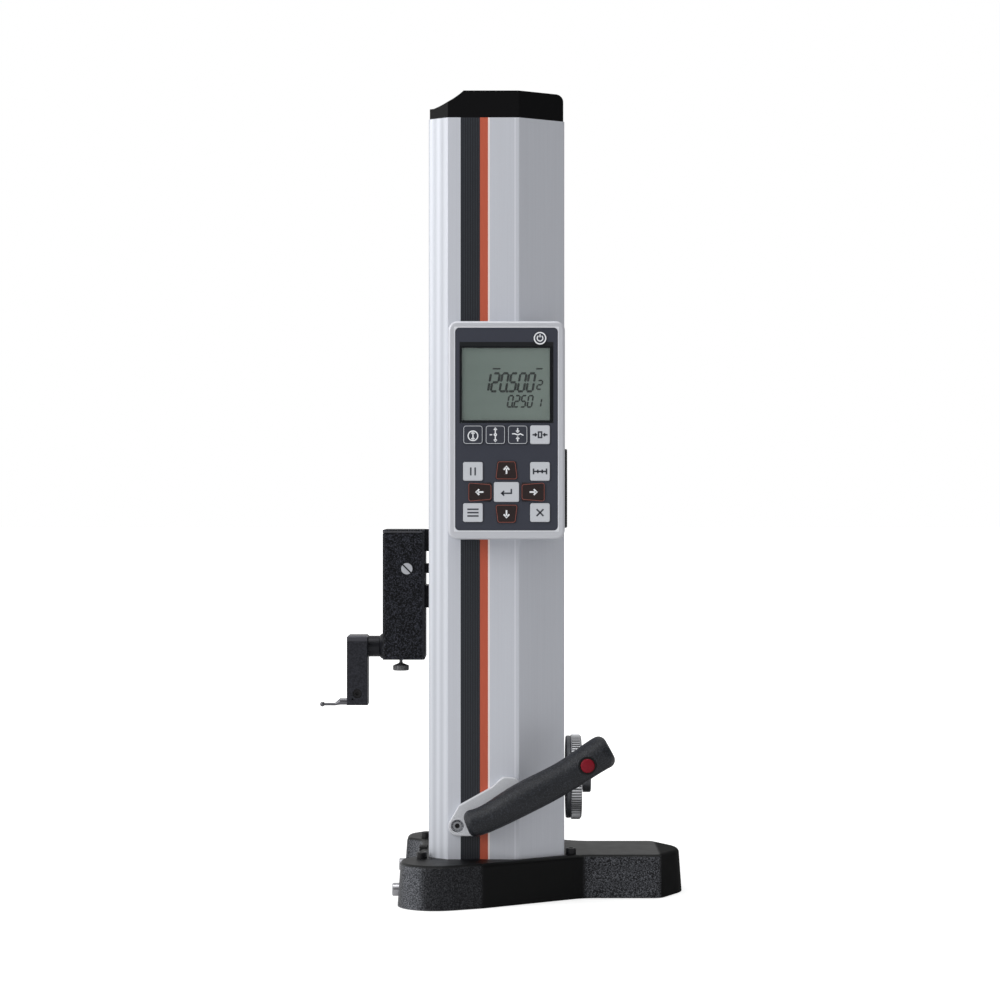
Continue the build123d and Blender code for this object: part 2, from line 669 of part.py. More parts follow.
def near_side_cover():
    """The bent cover on the operator's side, from the front facet round to the rear chamfer."""
    z = (DECK, COVER_TOP)
    shell = prism_z(column_plan(), z)
    edges = shell.edges().filter_by(Axis.Z)
    shell = fillet(edges, COVER_EDGE_RADIUS)
    shell -= prism_z(column_plan(COVER_WALL), z)
    cover = shell & block((COLUMN_FRONT, COLUMN_REAR), (-SIDE, 0), z)
    front_x, front_y = front_plate_limits()
    rear_x, rear_y = rear_plate_limits()
    cover -= block(front_x, (-front_y, 0), z)
    cover -= block(rear_x, (-rear_y, 0), z)
    dark, orange = stripe_limits()
    cover -= block(dark, (-SIDE, -SIDE + DARK_STRIPE_DEPTH), z)
    cover -= block(orange, (-SIDE, -SIDE + ORANGE_STRIPE_DEPTH), z)
    return cover


def far_side_cover():
    return mirror(near_side_cover(), about=Plane.XZ)


def front_strips():
    """The flat strips on both sides of the front slot."""
    x, y = front_plate_limits()
    return both_sides(block(x, (-y, -SLOT_WIDTH / 2), (DECK, COVER_TOP)))


def rear_cover():
    x, y = rear_plate_limits()
    plate = block(x, (-y, y), (DECK, COVER_TOP))
    return plate - rod_x(SHAFT_DIAMETER + 2, (x[0] - 1, x[1] + 1), 0, WHEEL_Z)


def dark_stripes():
    """Ribbed inlays: a flat strip with round flutes on its face."""
    limits, _ = stripe_limits()
    pitch = DARK_STRIPE_WIDTH / DARK_STRIPE_FLUTES
    strip = block(limits, (-SIDE, -SIDE + DARK_STRIPE_DEPTH), (DECK, COVER_TOP))
    for flute in range(DARK_STRIPE_FLUTES):
        x = limits[0] + (flute + 0.5) * pitch
        ridge = Pos(x, -SIDE) * Rectangle(pitch * 0.45, 2 * FLUTE_DEPTH)
        strip -= prism_z(ridge, (DECK, COVER_TOP))
    return both_sides(strip)


def orange_stripes():
    _, limits = stripe_limits()
    return both_sides(block(limits, (-SIDE, -SIDE + ORANGE_STRIPE_DEPTH), (DECK, COVER_TOP)))


def top_cap():
    """The moulded cap: a ledge at the front, a hollow slope, a flat top and a plug inside the covers."""
    front = COLUMN_FRONT + CAP_INSET
    rear = COLUMN_REAR - CAP_INSET
    low = COVER_TOP + CAP_FRONT_HEIGHT
    top = COVER_TOP + CAP_HEIGHT
    slope_start = (front + CAP_LEDGE, low)
    slope_end = (slope_start[0] + CAP_SLOPE_LENGTH, top)
    slope_middle = ((slope_start[0] + slope_end[0]) / 2, (low + top) / 2 - CAP_SLOPE_SAG)
    side = make_face([
        Line((front, COVER_TOP), (front, low)),
        Line((front, low), slope_start),
        ThreePointArc(slope_start, slope_middle, slope_end),
        Line(slope_end, (rear, top)),
        Line((rear, top), (rear, COVER_TOP)),
        Line((rear, COVER_TOP), (front, COVER_TOP)),
    ])
    cap = prism_y(side, (-SIDE, SIDE)) & prism_z(column_plan(CAP_INSET), (COVER_TOP, top))
    rear_edge = cap.edges().group_by(Axis.Z)[-1].sort_by(Axis.X)[-1]
    cap = fillet(rear_edge, CAP_REAR_RADIUS)
    cap += prism_z(column_plan(COVER_WALL + SLIDE_GAP), (COVER_TOP - CAP_PLUG_DEPTH, COVER_TOP))
    hollow = column_plan(2 * COVER_WALL + SLIDE_GAP)
    return cap - prism_z(hollow, (COVER_TOP - CAP_PLUG_DEPTH, low - COVER_WALL))


def rear_connector_panel():
    """A thin box on the rear cover with a power jack and a data port."""
    x = (COLUMN_REAR, COLUMN_REAR + CONNECTOR_THICKNESS)
    z = DECK + CONNECTOR_BOTTOM + CONNECTOR_HEIGHT / 2
    panel = prism_x(Pos(0, z) * RectangleRounded(CONNECTOR_WIDTH, CONNECTOR_HEIGHT, CONNECTOR_RADIUS), x)
    panel = chamfer(panel.edges().group_by(Axis.X)[-1], 0.8)
    jack = z + CONNECTOR_PITCH / 2
    port = z - CONNECTOR_PITCH / 2
    floor = x[1] - 0.8 * CONNECTOR_THICKNESS
    panel -= rod_x(JACK_DIAMETER, (floor, x[1]), 0, jack)
    panel += rod_x(JACK_PIN, (floor, x[1] - 0.6), 0, jack)
    panel -= block((floor, x[1]), (-PORT_WIDTH / 2, PORT_WIDTH / 2),
                   (port - PORT_HEIGHT / 2, port + PORT_HEIGHT / 2))
    return panel


# ---------------------------------------------------------------- guide column, rail and scale

def guide_column():
    """Box-section column with bores for the wheel shaft's bearings and tapped holes in its foot."""
    y = GUIDE_WIDTH / 2
    column = block((GUIDE_FRONT, GUIDE_REAR), (-y, y), (DECK, GUIDE_TOP))
    column -= block((GUIDE_FRONT + GUIDE_WALL, GUIDE_REAR - GUIDE_WALL),
                    (-y + GUIDE_WALL, y - GUIDE_WALL), (DECK, GUIDE_TOP))
    column -= rod_x(SHAFT_BEARING_DIAMETER, (GUIDE_FRONT, GUIDE_REAR), 0, WHEEL_Z)
    for x, screw_y in guide_screw_places():
        column -= rod_z(GUIDE_SCREW + 2 * SCREW_PLAY, x, screw_y, (DECK, DECK + GUIDE_SCREW_DEPTH))
    return column


def rail_plan(play=0.0):
    """Section of the rail: a bar with a groove along each side, grown by the play."""
    y = RAIL_WIDTH / 2 + play
    front = RAIL_FRONT - play
    lip = RAIL_THICKNESS / 6
    half = [
        (GUIDE_FRONT, y),
        (GUIDE_FRONT - 2 * lip, y),
        (GUIDE_FRONT - 3 * lip, y - RAIL_GROOVE),
        (GUIDE_FRONT - 4 * lip, y - RAIL_GROOVE),
        (GUIDE_FRONT - 5 * lip, y),
        (front, y),
    ]
    return outline(half + [(x, -y) for x, y in reversed(half)])


def linear_rail():
    return prism_z(rail_plan(), (DECK + RAIL_START, GUIDE_TOP - RAIL_END_GAP))


def scale_strip():
    start = GUIDE_FRONT + SCALE_FROM_FRONT
    y = GUIDE_WIDTH / 2
    return block((start, start + SCALE_WIDTH), (y, y + SCALE_THICKNESS),
                 (DECK + RAIL_START, GUIDE_TOP - RAIL_END_GAP))


# ---------------------------------------------------------------- band drive

def drum(x_middle, z):
    """A drum with a flange on each side of the band."""
    half = BAND_WIDTH / 2 + SLIDE_GAP
    body = rod_x(2 * DRUM_RADIUS, (x_middle - half, x_middle + half), 0, z)
    rim = 2 * (DRUM_RADIUS + DRUM_FLANGE)
    body += rod_x(rim, (x_middle - DRUM_HALF, x_middle - half), 0, z)
    return body + rod_x(rim, (x_middle + half, x_middle + DRUM_HALF), 0, z)


def drive_band():
    """The endless steel band round both drums."""
    reach = IDLER_Z - WHEEL_Z
    middle_z = (IDLER_Z + WHEEL_Z) / 2
    x = (BAND_PLANE - BAND_WIDTH / 2, BAND_PLANE + BAND_WIDTH / 2)
    outer = prism_x(Pos(0, middle_z) * SlotCenterToCenter(reach, 2 * BAND_OUTER, rotation=90), x)
    return outer - prism_x(Pos(0, middle_z) * SlotCenterToCenter(reach, 2 * BAND_INNER, rotation=90), x)


def idler_bracket():
    """A plate on the guide column's rear face with a boss and the idler's axle."""
    x = (GUIDE_REAR, GUIDE_REAR + IDLER_BRACKET_PLATE)
    y = IDLER_BRACKET_WIDTH / 2
    z = (IDLER_Z - IDLER_BRACKET_HEIGHT / 2, IDLER_Z + IDLER_BRACKET_HEIGHT / 2)
    bracket = fillet(block(x, (-y, y), z).edges().filter_by(Axis.X), 4.0)
    face = BAND_PLANE - DRUM_HALF - SLIDE_GAP
    bracket += rod_x(IDLER_BOSS, (x[1], face), 0, IDLER_Z)
    far = BAND_PLANE + DRUM_HALF + SLIDE_GAP
    bracket += rod_x(IDLER_AXLE, (face, far + RETAINING_RING + 1), 0, IDLER_Z)
    return bracket + rod_x(1.6 * IDLER_AXLE, (far, far + RETAINING_RING), 0, IDLER_Z)


def idler_pulley():
    hub = drum(BAND_PLANE, IDLER_Z)
    bore = (BAND_PLANE - DRUM_HALF, BAND_PLANE + DRUM_HALF)
    return hub - rod_x(IDLER_AXLE + 2 * RUNNING_FIT, bore, 0, IDLER_Z)


def shaft_bearings():
    """Two ball bearings, drawn as rings, in the guide column's front and rear walls."""
    front = GUIDE_FRONT + SHAFT_BEARING_INSET
    rear = GUIDE_REAR - SHAFT_BEARING_INSET
    places = ((front, front + SHAFT_BEARING_WIDTH), (rear - SHAFT_BEARING_WIDTH, rear))
    rings = []
    for x in places:
        ring = rod_x(SHAFT_BEARING_DIAMETER, x, 0, WHEEL_Z)
        rings.append(ring - rod_x(SHAFT_DIAMETER + 2 * RUNNING_FIT, x, 0, WHEEL_Z))
    return group(rings)


def knob_limits():
    start = WHEEL_BACK + WHEEL_FLANGE + RIM_WIDTH + HUB_KNOB_GAP
    return start, start + HUB_KNOB_WIDTH


def wheel_shaft():
    """The wheel's shaft with the drive drum turned in one piece."""
    x = (GUIDE_FRONT + SHAFT_BEARING_INSET, knob_limits()[1] - SHAFT_END_COVER)
    return rod_x(SHAFT_DIAMETER, x, 0, WHEEL_Z) + drum(BAND_PLANE, WHEEL_Z)


def handwheel_hub():
    """Black hub: the flange behind the rim, the tube through it and the knob in front."""
    flange = (WHEEL_BACK, WHEEL_BACK + WHEEL_FLANGE)
    knob = knob_limits()
    hub = rod_x(WHEEL_DIAMETER - 2 * WHEEL_FLANGE_STEP, flange, 0, WHEEL_Z)
    hub = chamfer(hub.edges().group_by(Axis.X)[0], 1.0)
    hub += rod_x(HUB_DIAMETER, (flange[1], knob[0]), 0, WHEEL_Z)
    cap = rod_x(HUB_KNOB_DIAMETER, knob, 0, WHEEL_Z)
    hub += fillet(cap.edges().group_by(Axis.X)[-1], HUB_KNOB_RADIUS)
    return hub - rod_x(SHAFT_DIAMETER, (flange[0], knob[1] - SHAFT_END_COVER), 0, WHEEL_Z)


def ridged_disc():
    """The rim's outline with straight ridges all round."""
    crest = WHEEL_DIAMETER / 2
    root = crest - RIDGE_HEIGHT
    step = 2 * pi / RIM_RIDGES
    points = []
    for ridge in range(RIM_RIDGES):
        for share, radius in ((0.0, root), (0.2, crest), (0.55, crest), (0.75, root)):
            angle = (ridge + share) * step
            points.append((radius * cos(angle), WHEEL_Z + radius * sin(angle)))
    return outline(points)


def handwheel_rim():
    """The ridged aluminium rim: chamfered borders beside the ridges, and a dished outer face."""
    start = WHEEL_BACK + WHEEL_FLANGE
    end = start + RIM_WIDTH
    root = WHEEL_DIAMETER - 2 * RIDGE_HEIGHT
    rim = prism_x(ridged_disc(), (start + RIM_CHAMFER, end - RIM_CHAMFER))
    border = rod_x(root, (start, end), 0, WHEEL_Z)
    ends = border.edges().group_by(Axis.X)
    rim += chamfer(ends[0] + ends[-1], RIM_CHAMFER * 0.8)
    dish = rod_x(2 * RIM_DISH_OUTER, (end - RIM_DISH_DEPTH, end), 0, WHEEL_Z)
    rim -= dish - rod_x(2 * RIM_DISH_INNER, (end - RIM_DISH_DEPTH, end), 0, WHEEL_Z)
    return rim - rod_x(HUB_DIAMETER, (start, end), 0, WHEEL_Z)


def band_jaw(side, y_outer, z):
    """A block that holds one run of the band in a slot: the run at y = side * radius."""
    half = DRUM_HALF
    near = side * (BAND_INNER - SLIDE_GAP - JAW_THICKNESS)
    far = side * y_outer
    jaw = block((BAND_PLANE - half, BAND_PLANE + half), (min(near, far), max(near, far)), z)
    slot_x = BAND_WIDTH / 2 + SLIDE_GAP
    slot_y = sorted((side * (BAND_INNER - SLIDE_GAP), side * (BAND_OUTER + SLIDE_GAP)))
    return jaw - block((BAND_PLANE - slot_x, BAND_PLANE + slot_x), slot_y, z)


def counterweight():
    """The steel weight that hangs on the band's far run."""
    z = (DECK + WEIGHT_BOTTOM, DECK + WEIGHT_BOTTOM + WEIGHT_LENGTH)
    inner = BAND_OUTER + SLIDE_GAP + JAW_THICKNESS
    x_middle = BAND_PLANE + WEIGHT_OFFSET
    x = (x_middle - WEIGHT_DEPTH / 2, x_middle + WEIGHT_DEPTH / 2)
    weight = chamfer(block(x, (inner, inner + WEIGHT_WIDTH), z).edges(), WEIGHT_EDGE)
    grip_z = (middle(z) - WEIGHT_CLAMP_LENGTH / 2, middle(z) + WEIGHT_CLAMP_LENGTH / 2)
    return weight + band_jaw(1, inner, grip_z)


# ---------------------------------------------------------------- slider

def rail_bearings():
    """Two recirculating blocks that ride the rail."""
    y = BEARING_WIDTH / 2
    blocks = []
    for rise in BEARINGS:
        z = (SLIDER_BASE + rise, SLIDER_BASE + rise + BEARING_LENGTH)
        body = block((BLOCK_FRONT, GUIDE_FRONT - BEARING_LIFT), (-y, y), z)
        blocks.append(body - prism_z(rail_plan(SLIDE_GAP), z))
    return group(blocks)


def slider_bracket():
    """The plate on the bearing blocks, the bridges through the slot and the slider's back flange."""
    y = CARRIAGE_PLATE_WIDTH / 2
    plate_z = (SLIDER_BASE + CARRIAGE_PLATE_DROP, SLIDER_BASE + BRIDGES[-1][1])
    bracket = block((PLATE_FRONT, BLOCK_FRONT), (-y, y), plate_z)
    for low, high in BRIDGES:
        bracket += block((SLIDER_REAR, PLATE_FRONT), (-BRIDGE_WIDTH / 2, BRIDGE_WIDTH / 2),
                         (SLIDER_BASE + low, SLIDER_BASE + high))
    y = SLIDER_WIDTH / 2
    flange_x = (SLIDER_REAR - FLANGE_THICKNESS, SLIDER_REAR)
    flange = block(flange_x, (-y, y), (SLIDER_BASE, SLIDER_TOP))
    return bracket + fillet(flange.edges().filter_by(Axis.X), 1.5)


def band_arm():
    """The arm round the guide column that joins the slider to the band's near run."""
    z = (SLIDER_BASE + BAND_ARM_RISE, SLIDER_BASE + BAND_ARM_RISE + BAND_ARM_HEIGHT)
    outer = -CARRIAGE_PLATE_WIDTH / 2 + 2
    inner = outer + BAND_ARM_THICKNESS
    arm = block((BLOCK_FRONT, BAND_PLANE + DRUM_HALF), (outer, inner), z)
    arm += block((BLOCK_FRONT, BLOCK_FRONT + BAND_ARM_THICKNESS), (inner, -BEARING_WIDTH / 2 - 1), z)
    return arm + band_jaw(-1, -inner, z)


def read_head():
    """The scale's read head on its stem from the slider's plate."""
    face = GUIDE_WIDTH / 2 + SCALE_THICKNESS + READ_HEAD_GAP
    y = (face, face + READ_HEAD_THICKNESS)
    z = (SLIDER_BASE + READ_HEAD_RISE, SLIDER_BASE + READ_HEAD_RISE + READ_HEAD_HEIGHT)
    scale_middle = GUIDE_FRONT + SCALE_FROM_FRONT + SCALE_WIDTH / 2
    x = (scale_middle - READ_HEAD_DEPTH / 2, scale_middle + READ_HEAD_DEPTH / 2)
    head = chamfer(block(x, y, z).edges().filter_by(Axis.Z), 1.0)
    quarter = READ_HEAD_HEIGHT / 4
    stem = block((BLOCK_FRONT, x[0] + 1), (y[0] + 2, y[1] - 2), (z[0] + quarter, z[1] - quarter))
    return head + stem


def spindle_block_limits():
    rear = SLIDER_FRONT + SLIDER_WALL + BEARING_BLOCK_LENGTH
    return SLIDER_FRONT + SLIDER_WALL, rear


def slider_cover():
    """The cast box, open towards the column, with holes for spindle nose, clamp knob and side screw."""
    x = (SLIDER_FRONT, SLIDER_REAR - FLANGE_THICKNESS)
    y = SLIDER_WIDTH / 2
    z = (SLIDER_BASE, SLIDER_TOP)
    box = block(x, (-y, y), z)
    box = fillet(box.edges().filter_by(Axis.Z).group_by(Axis.X)[0], SLIDER_CORNER_RADIUS)
    box = fillet(box.edges().group_by(Axis.Z)[-1].filter_by(lambda edge: edge.center().X < x[1] - 1),
                 SLIDER_EDGE_RADIUS)
    seam_z = (SLIDER_TOP - SLIDER_LID - SEAM_WIDTH, SLIDER_TOP - SLIDER_LID)
    core = block((x[0] + SEAM_DEPTH, x[1]), (-y + SEAM_DEPTH, y - SEAM_DEPTH), seam_z)
    core = fillet(core.edges().filter_by(Axis.Z).group_by(Axis.X)[0], SLIDER_CORNER_RADIUS - SEAM_DEPTH)
    box -= block(x, (-y, y), seam_z) - core
    wall = SLIDER_WALL
    box -= block((x[0] + wall, x[1]), (-y + wall, y - wall), (z[0] + wall, z[1] - wall))
    box -= rod_x(NOSE_DIAMETER + 2 * SEAT_PLAY, (x[0] - 1, x[0] + wall + 1), 0, SPINDLE_Z)
    box -= rod_z(KNOB_NECK + 4 * SCREW_PLAY, SLIDER_FRONT + KNOB_FROM_FRONT, 0, (z[0] - 1, z[0] + wall + 1))
    screw_x, screw_z = SLIDER_FRONT + SIDE_SCREW_FROM_FRONT, SLIDER_BASE + SIDE_SCREW_RISE
    return box - rod_y(SIDE_SCREW_SHANK + 2 * SCREW_PLAY, screw_x, (-y - 1, -y + wall + 1), screw_z)


def probe_bearing():
    """The block that carries the spindle, with a conical nose in the slider's front wall."""
    x = spindle_block_limits()
    y = BEARING_BLOCK_WIDTH / 2
    bottom = SLIDER_BASE + SLIDER_WALL
    body = block(x, (-y, y), (bottom, bottom + BEARING_BLOCK_HEIGHT))
    body += block((x[1], SLIDER_REAR - FLANGE_THICKNESS), (-y, -SPINDLE_WASHER / 2 - 2),
                  (bottom, bottom + BEARING_BLOCK_HEIGHT))
    body += block((x[1], SLIDER_REAR - FLANGE_THICKNESS), (SPINDLE_WASHER / 2 + 2, y),
                  (bottom, bottom + BEARING_BLOCK_HEIGHT))
    nose = (SLIDER_FRONT - NOSE_LENGTH, x[0])
    tip = rod_x(NOSE_DIAMETER, nose, 0, SPINDLE_Z)
    body += chamfer(tip.edges().group_by(Axis.X)[0], NOSE_TAPER)
    body -= rod_x(SPINDLE_DIAMETER + 2 * RUNNING_FIT, (nose[0], x[1]), 0, SPINDLE_Z)
    return body - rod_z(KNOB_NECK + 2 * RUNNING_FIT, SLIDER_FRONT + KNOB_FROM_FRONT, 0,
                        (bottom - 1, SPINDLE_Z))


def side_screw():
    """Slotted steel screw in the slider's near wall."""
    x, z = SLIDER_FRONT + SIDE_SCREW_FROM_FRONT, SLIDER_BASE + SIDE_SCREW_RISE
    wall = -SLIDER_WIDTH / 2
    head = rod_y(SIDE_SCREW_DIAMETER, x, (wall - SIDE_SCREW_HEAD, wall), z)
    head = chamfer(head.edges().group_by(Axis.Y)[0], 0.4)
    slot = Pos(x, wall - SIDE_SCREW_HEAD, z) * Rot(0, 45, 0)
    head -= slot * Box(SIDE_SCREW_DIAMETER + 2, SIDE_SCREW_HEAD, SCREW_SLOT)
    return head + rod_y(SIDE_SCREW_SHANK, x, (wall, wall + SIDE_SCREW_LENGTH), z)


def clamp_knob():
    """The fluted thumb knob that clamps the spindle from below."""
    top = SLIDER_BASE - KNOB_DROP
    r, neck = KNOB_DIAMETER / 2, KNOB_NECK / 2
    tip = SPINDLE_Z - SPINDLE_DIAMETER / 2 - SLIDE_GAP
    half_section = outline([
        (0, top - KNOB_DISC),
        (r - 0.8, top - KNOB_DISC),
        (r, top - KNOB_DISC + 0.8),
        (r, top - 0.6),
        (r - 0.8, top),
        (neck + 1.0, top + KNOB_CROWN),
        (neck, top + KNOB_CROWN + 1),
        (neck, tip),
        (0, tip),
    ])
    knob = revolve(Plane.XZ * half_section, Axis.Z)
    for flute in range(KNOB_FLUTES):
        turn = Rot(0, 0, 360 * flute / KNOB_FLUTES)
        knob -= turn * rod_z(2 * KNOB_FLUTE_RADIUS, r, 0, (top - KNOB_DISC - 1, top + 1))
    return Pos(SLIDER_FRONT + KNOB_FROM_FRONT, 0, 0) * knob


# ---------------------------------------------------------------- probe

ARM_REAR = SLIDER_FRONT - NOSE_LENGTH - SLIDE_GAP - COLLAR_LENGTH
ARM_FRONT = ARM_REAR - ARM_THICKNESS
ARM_BOTTOM = SPINDLE_Z - ARM_DROP
STYLUS_Z = SPINDLE_Z - STYLUS_DROP


def probe_spindle():
    """The spindle with its collar at the arm and a washer behind the bearing block."""
    front, rear = spindle_block_limits()
    spindle = rod_x(COLLAR_DIAMETER, (ARM_REAR, ARM_REAR + COLLAR_LENGTH), 0, SPINDLE_Z)
    washer = (rear + SLIDE_GAP, rear + SLIDE_GAP + SPINDLE_WASHER_LENGTH)
    spindle += rod_x(SPINDLE_DIAMETER, (ARM_REAR + COLLAR_LENGTH, washer[1]), 0, SPINDLE_Z)
    return spindle + rod_x(SPINDLE_WASHER, washer, 0, SPINDLE_Z)


def clamp_screw_place():
    return ARM_FRONT + CLAMP_SCREW_FROM_FRONT, ARM_BOTTOM + CLAMP_SCREW_RISE


def probe_arm():
    """The block that hangs from the spindle and holds the stylus in its lower end."""
    y = ARM_WIDTH / 2
    arm = block((ARM_FRONT, ARM_REAR), (-y, y), (ARM_BOTTOM, SPINDLE_Z + ARM_TOP))
    arm = chamfer(arm.edges().group_by(Axis.Z)[-1], ARM_CHAMFER)
    arm = fillet(arm.edges().filter_by(Axis.Z), ARM_EDGE_RADIUS)
    arm -= rod_x(STYLUS_BODY + 2 * RUNNING_FIT, (ARM_FRONT, ARM_FRONT + STYLUS_SEAT), 0, STYLUS_Z)
    x, z = clamp_screw_place()
    arm -= rod_y(CLAMP_SCREW_DIAMETER + 2 * RUNNING_FIT, x, (-y, -STYLUS_BODY / 2), z)
    return arm - rod_y(VENT_DIAMETER, ARM_FRONT + VENT_FROM_FRONT, (-y, -y + VENT_DEPTH),
                       ARM_BOTTOM + VENT_RISE)


def stylus_clamp_screw():
    x, z = clamp_screw_place()
    start = -ARM_WIDTH / 2 + CLAMP_SCREW_RECESS
    screw = rod_y(CLAMP_SCREW_DIAMETER, x, (start, -STYLUS_BODY / 2), z)
    socket = extrude(RegularPolygon(0.3 * CLAMP_SCREW_DIAMETER, 6), 2 * CLAMP_SCREW_RECESS + 1, both=True)
    return screw - Pos(x, start, z) * Rot(90, 0, 0) * socket


def stylus():
    """Eccentric stylus: body, offset taper, thin stem and ball."""
    shoulder = ARM_FRONT - STYLUS_BODY_LENGTH
    neck = shoulder - STYLUS_TAPER_LENGTH
    ball = ARM_FRONT - STYLUS_REACH
    stem_z = STYLUS_Z - STYLUS_STEM_DROP
    piece = rod_x(STYLUS_BODY, (shoulder, ARM_FRONT + STYLUS_SEAT), 0, STYLUS_Z)
    piece += loft([Plane((shoulder, 0, STYLUS_Z), z_dir=(1, 0, 0)) * Circle(STYLUS_BODY / 2),
                   Plane((neck, 0, stem_z), z_dir=(1, 0, 0)) * Circle(STYLUS_STEM / 2)])
    piece += rod_x(STYLUS_STEM, (ball, neck), 0, stem_z)
    return piece + Pos(ball, 0, stem_z) * Sphere(BALL_DIAMETER / 2)


# ---------------------------------------------------------------- display unit and keys

def panel_face(growth=0.0):
    """The key panel's outline in X and Z, grown all round."""
    shape = RectangleRounded(PANEL_WIDTH + 2 * growth, PANEL_HEIGHT + 2 * growth, PANEL_RADIUS + growth)
    return Pos(PANEL_MIDDLE, PANEL_BOTTOM + PANEL_HEIGHT / 2) * shape


def window_face(growth=0.0):
    shape = RectangleRounded(WINDOW_WIDTH + 2 * growth, WINDOW_HEIGHT + 2 * growth, WINDOW_RADIUS)
    return Pos(PANEL_MIDDLE, WINDOW_TOP - WINDOW_HEIGHT / 2) * shape


def display_housing():
    """The cast housing on the column's side: back wall, deep rim and a ledge for the panel."""
    x = COLUMN_FRONT + DISPLAY_LEFT + DISPLAY_WIDTH / 2
    z = DECK + DISPLAY_BOTTOM + DISPLAY_HEIGHT / 2
    shape = Pos(x, z) * RectangleRounded(DISPLAY_WIDTH, DISPLAY_HEIGHT, DISPLAY_CORNER_RADIUS)
    housing = prism_y(shape, (DISPLAY_FRONT, -SIDE))
    housing = fillet(housing.edges().group_by(Axis.Y)[0], DISPLAY_EDGE_RADIUS)
    housing -= prism_y(panel_face(), (DISPLAY_FRONT, PANEL_BACK))
    return housing - prism_y(panel_face(-PANEL_LEDGE), (PANEL_BACK, -SIDE - DISPLAY_BACK_WALL))


def rectangular_key(width, height):
    return RectangleRounded(width, height, KEY_RADIUS)


def tapered_key(wide, narrow, height, turn):
    """An arrow key's outline: it narrows towards its arrow, then turns to face its direction."""
    corners = [(-wide / 2, -height / 2), (wide / 2, -height / 2), (narrow / 2, height / 2),
               (-narrow / 2, height / 2)]
    return Rot(0, 0, turn) * outline(corners, KEY_RADIUS)


def keys():
    """Each key's name, outline and place (X, Z) on the panel."""
    plain = rectangular_key(KEY_WIDTH, KEY_HEIGHT)
    column = [PANEL_MIDDLE + (place - 1.5) * KEY_PITCH for place in range(4)]
    row = [PANEL_BOTTOM + rise for rise in (TOP_ROW, UPPER_ROW, LOWER_ROW)]
    enter = (PANEL_MIDDLE, (row[1] + row[2]) / 2)
    upright = (ARROW_LONG, ARROW_SHORT, ARROW_HEIGHT)
    sideways = (SIDE_ARROW_LONG, SIDE_ARROW_SHORT, SIDE_ARROW_WIDTH)
    places = {f"top_key_{place + 1}": (plain, (column[place], row[0])) for place in range(4)}
    places["left_upper_key"] = (plain, (column[0], row[1]))
    places["left_lower_key"] = (plain, (column[0], row[2]))
    places["right_upper_key"] = (plain, (column[3], row[1]))
    places["right_lower_key"] = (plain, (column[3], row[2]))
    places["enter_key"] = (rectangular_key(ENTER_WIDTH, ENTER_HEIGHT), enter)
    places["up_key"] = (tapered_key(*upright, 0), (enter[0], enter[1] + ARROW_OFFSET_Z))
    places["down_key"] = (tapered_key(*upright, 180), (enter[0], enter[1] - ARROW_OFFSET_Z))
    places["left_key"] = (tapered_key(*sideways, 90), (enter[0] - ARROW_OFFSET_X, enter[1]))
    places["right_key"] = (tapered_key(*sideways, -90), (enter[0] + ARROW_OFFSET_X, enter[1]))
    places["power_key"] = (Circle(POWER_KEY_DIAMETER / 2), (column[3], PANEL_TOP - POWER_KEY_DROP))
    return places


def key_cap(face, place):
    """A key: the cap through the panel, and the flange that keeps it behind the panel."""
    front = PANEL_FRONT - KEY_RISE
    cap = prism_y(Pos(*place) * face, (front, front + KEY_DEPTH))
    cap = chamfer(cap.edges().group_by(Axis.Y)[0], 0.35)
    flange = (PANEL_BACK + SLIDE_GAP, front + KEY_DEPTH)
    return cap + prism_y(Pos(*place) * offset(face, KEY_FLANGE), flange)


def key_panel():
    """The dark front panel with a hole for each key and the window's opening."""
    panel = prism_y(panel_face(-SEAT_PLAY), (PANEL_FRONT, PANEL_BACK))
    panel -= prism_y(window_face(SEAT_PLAY), (PANEL_FRONT, PANEL_BACK))
    for face, place in keys().values():
        panel -= prism_y(Pos(*place) * offset(face, KEY_PLAY), (PANEL_FRONT, PANEL_BACK))
    return panel


def lcd_window():
    return prism_y(window_face(), (PANEL_FRONT, PANEL_FRONT + WINDOW_THICKNESS))


def lcd_module():
    back = PANEL_FRONT + WINDOW_THICKNESS
    return prism_y(window_face(-LCD_MARGIN), (back, back + LCD_THICKNESS))


# ---------------------------------------------------------------- grip, bracket and air button

# The grip's axis in X and Z, measured from the column's front face and the deck, with its diameter there.
GRIP_STATIONS = (
    (36.5, 36.8, 28.2),
    (71.8, 50.6, 29.2),
    (110.4, 71.2, 31.4),
    (138.8, 87.2, 30.6),
    (154.2, 97.6, 31.6),
    (174.5, 108.8, 32.4),
)
# Corners of the bracket's plate, from the same place, with their fillets.
BRACKET_CORNERS = (
    ((19.4, 23.0), 8.5),
    ((47.0, 23.0), 6.0),
    ((88.0, 48.0), 10.0),
    ((89.5, 78.6), 9.0),
    ((72.0, 80.4), 8.0),
    ((61.8, 70.8), 2.0),
    ((29.5, 52.7), 5.0),
    ((19.4, 35.5), 8.0),
)
BRACKET_SCREW_PLACE = (28.0, 33.0)
GRIP_POSTS = ((56.1, 44.5), (75.8, 52.6))
BUTTON_STATION = (152.4, 94.2)


def on_side(x, z):
    """A place on the column's side, from its front face and the deck."""
    return COLUMN_FRONT + x, DECK + z


def bracket_screw_place():
    return on_side(*BRACKET_SCREW_PLACE)


def post_places():
    return [on_side(*place) for place in GRIP_POSTS]


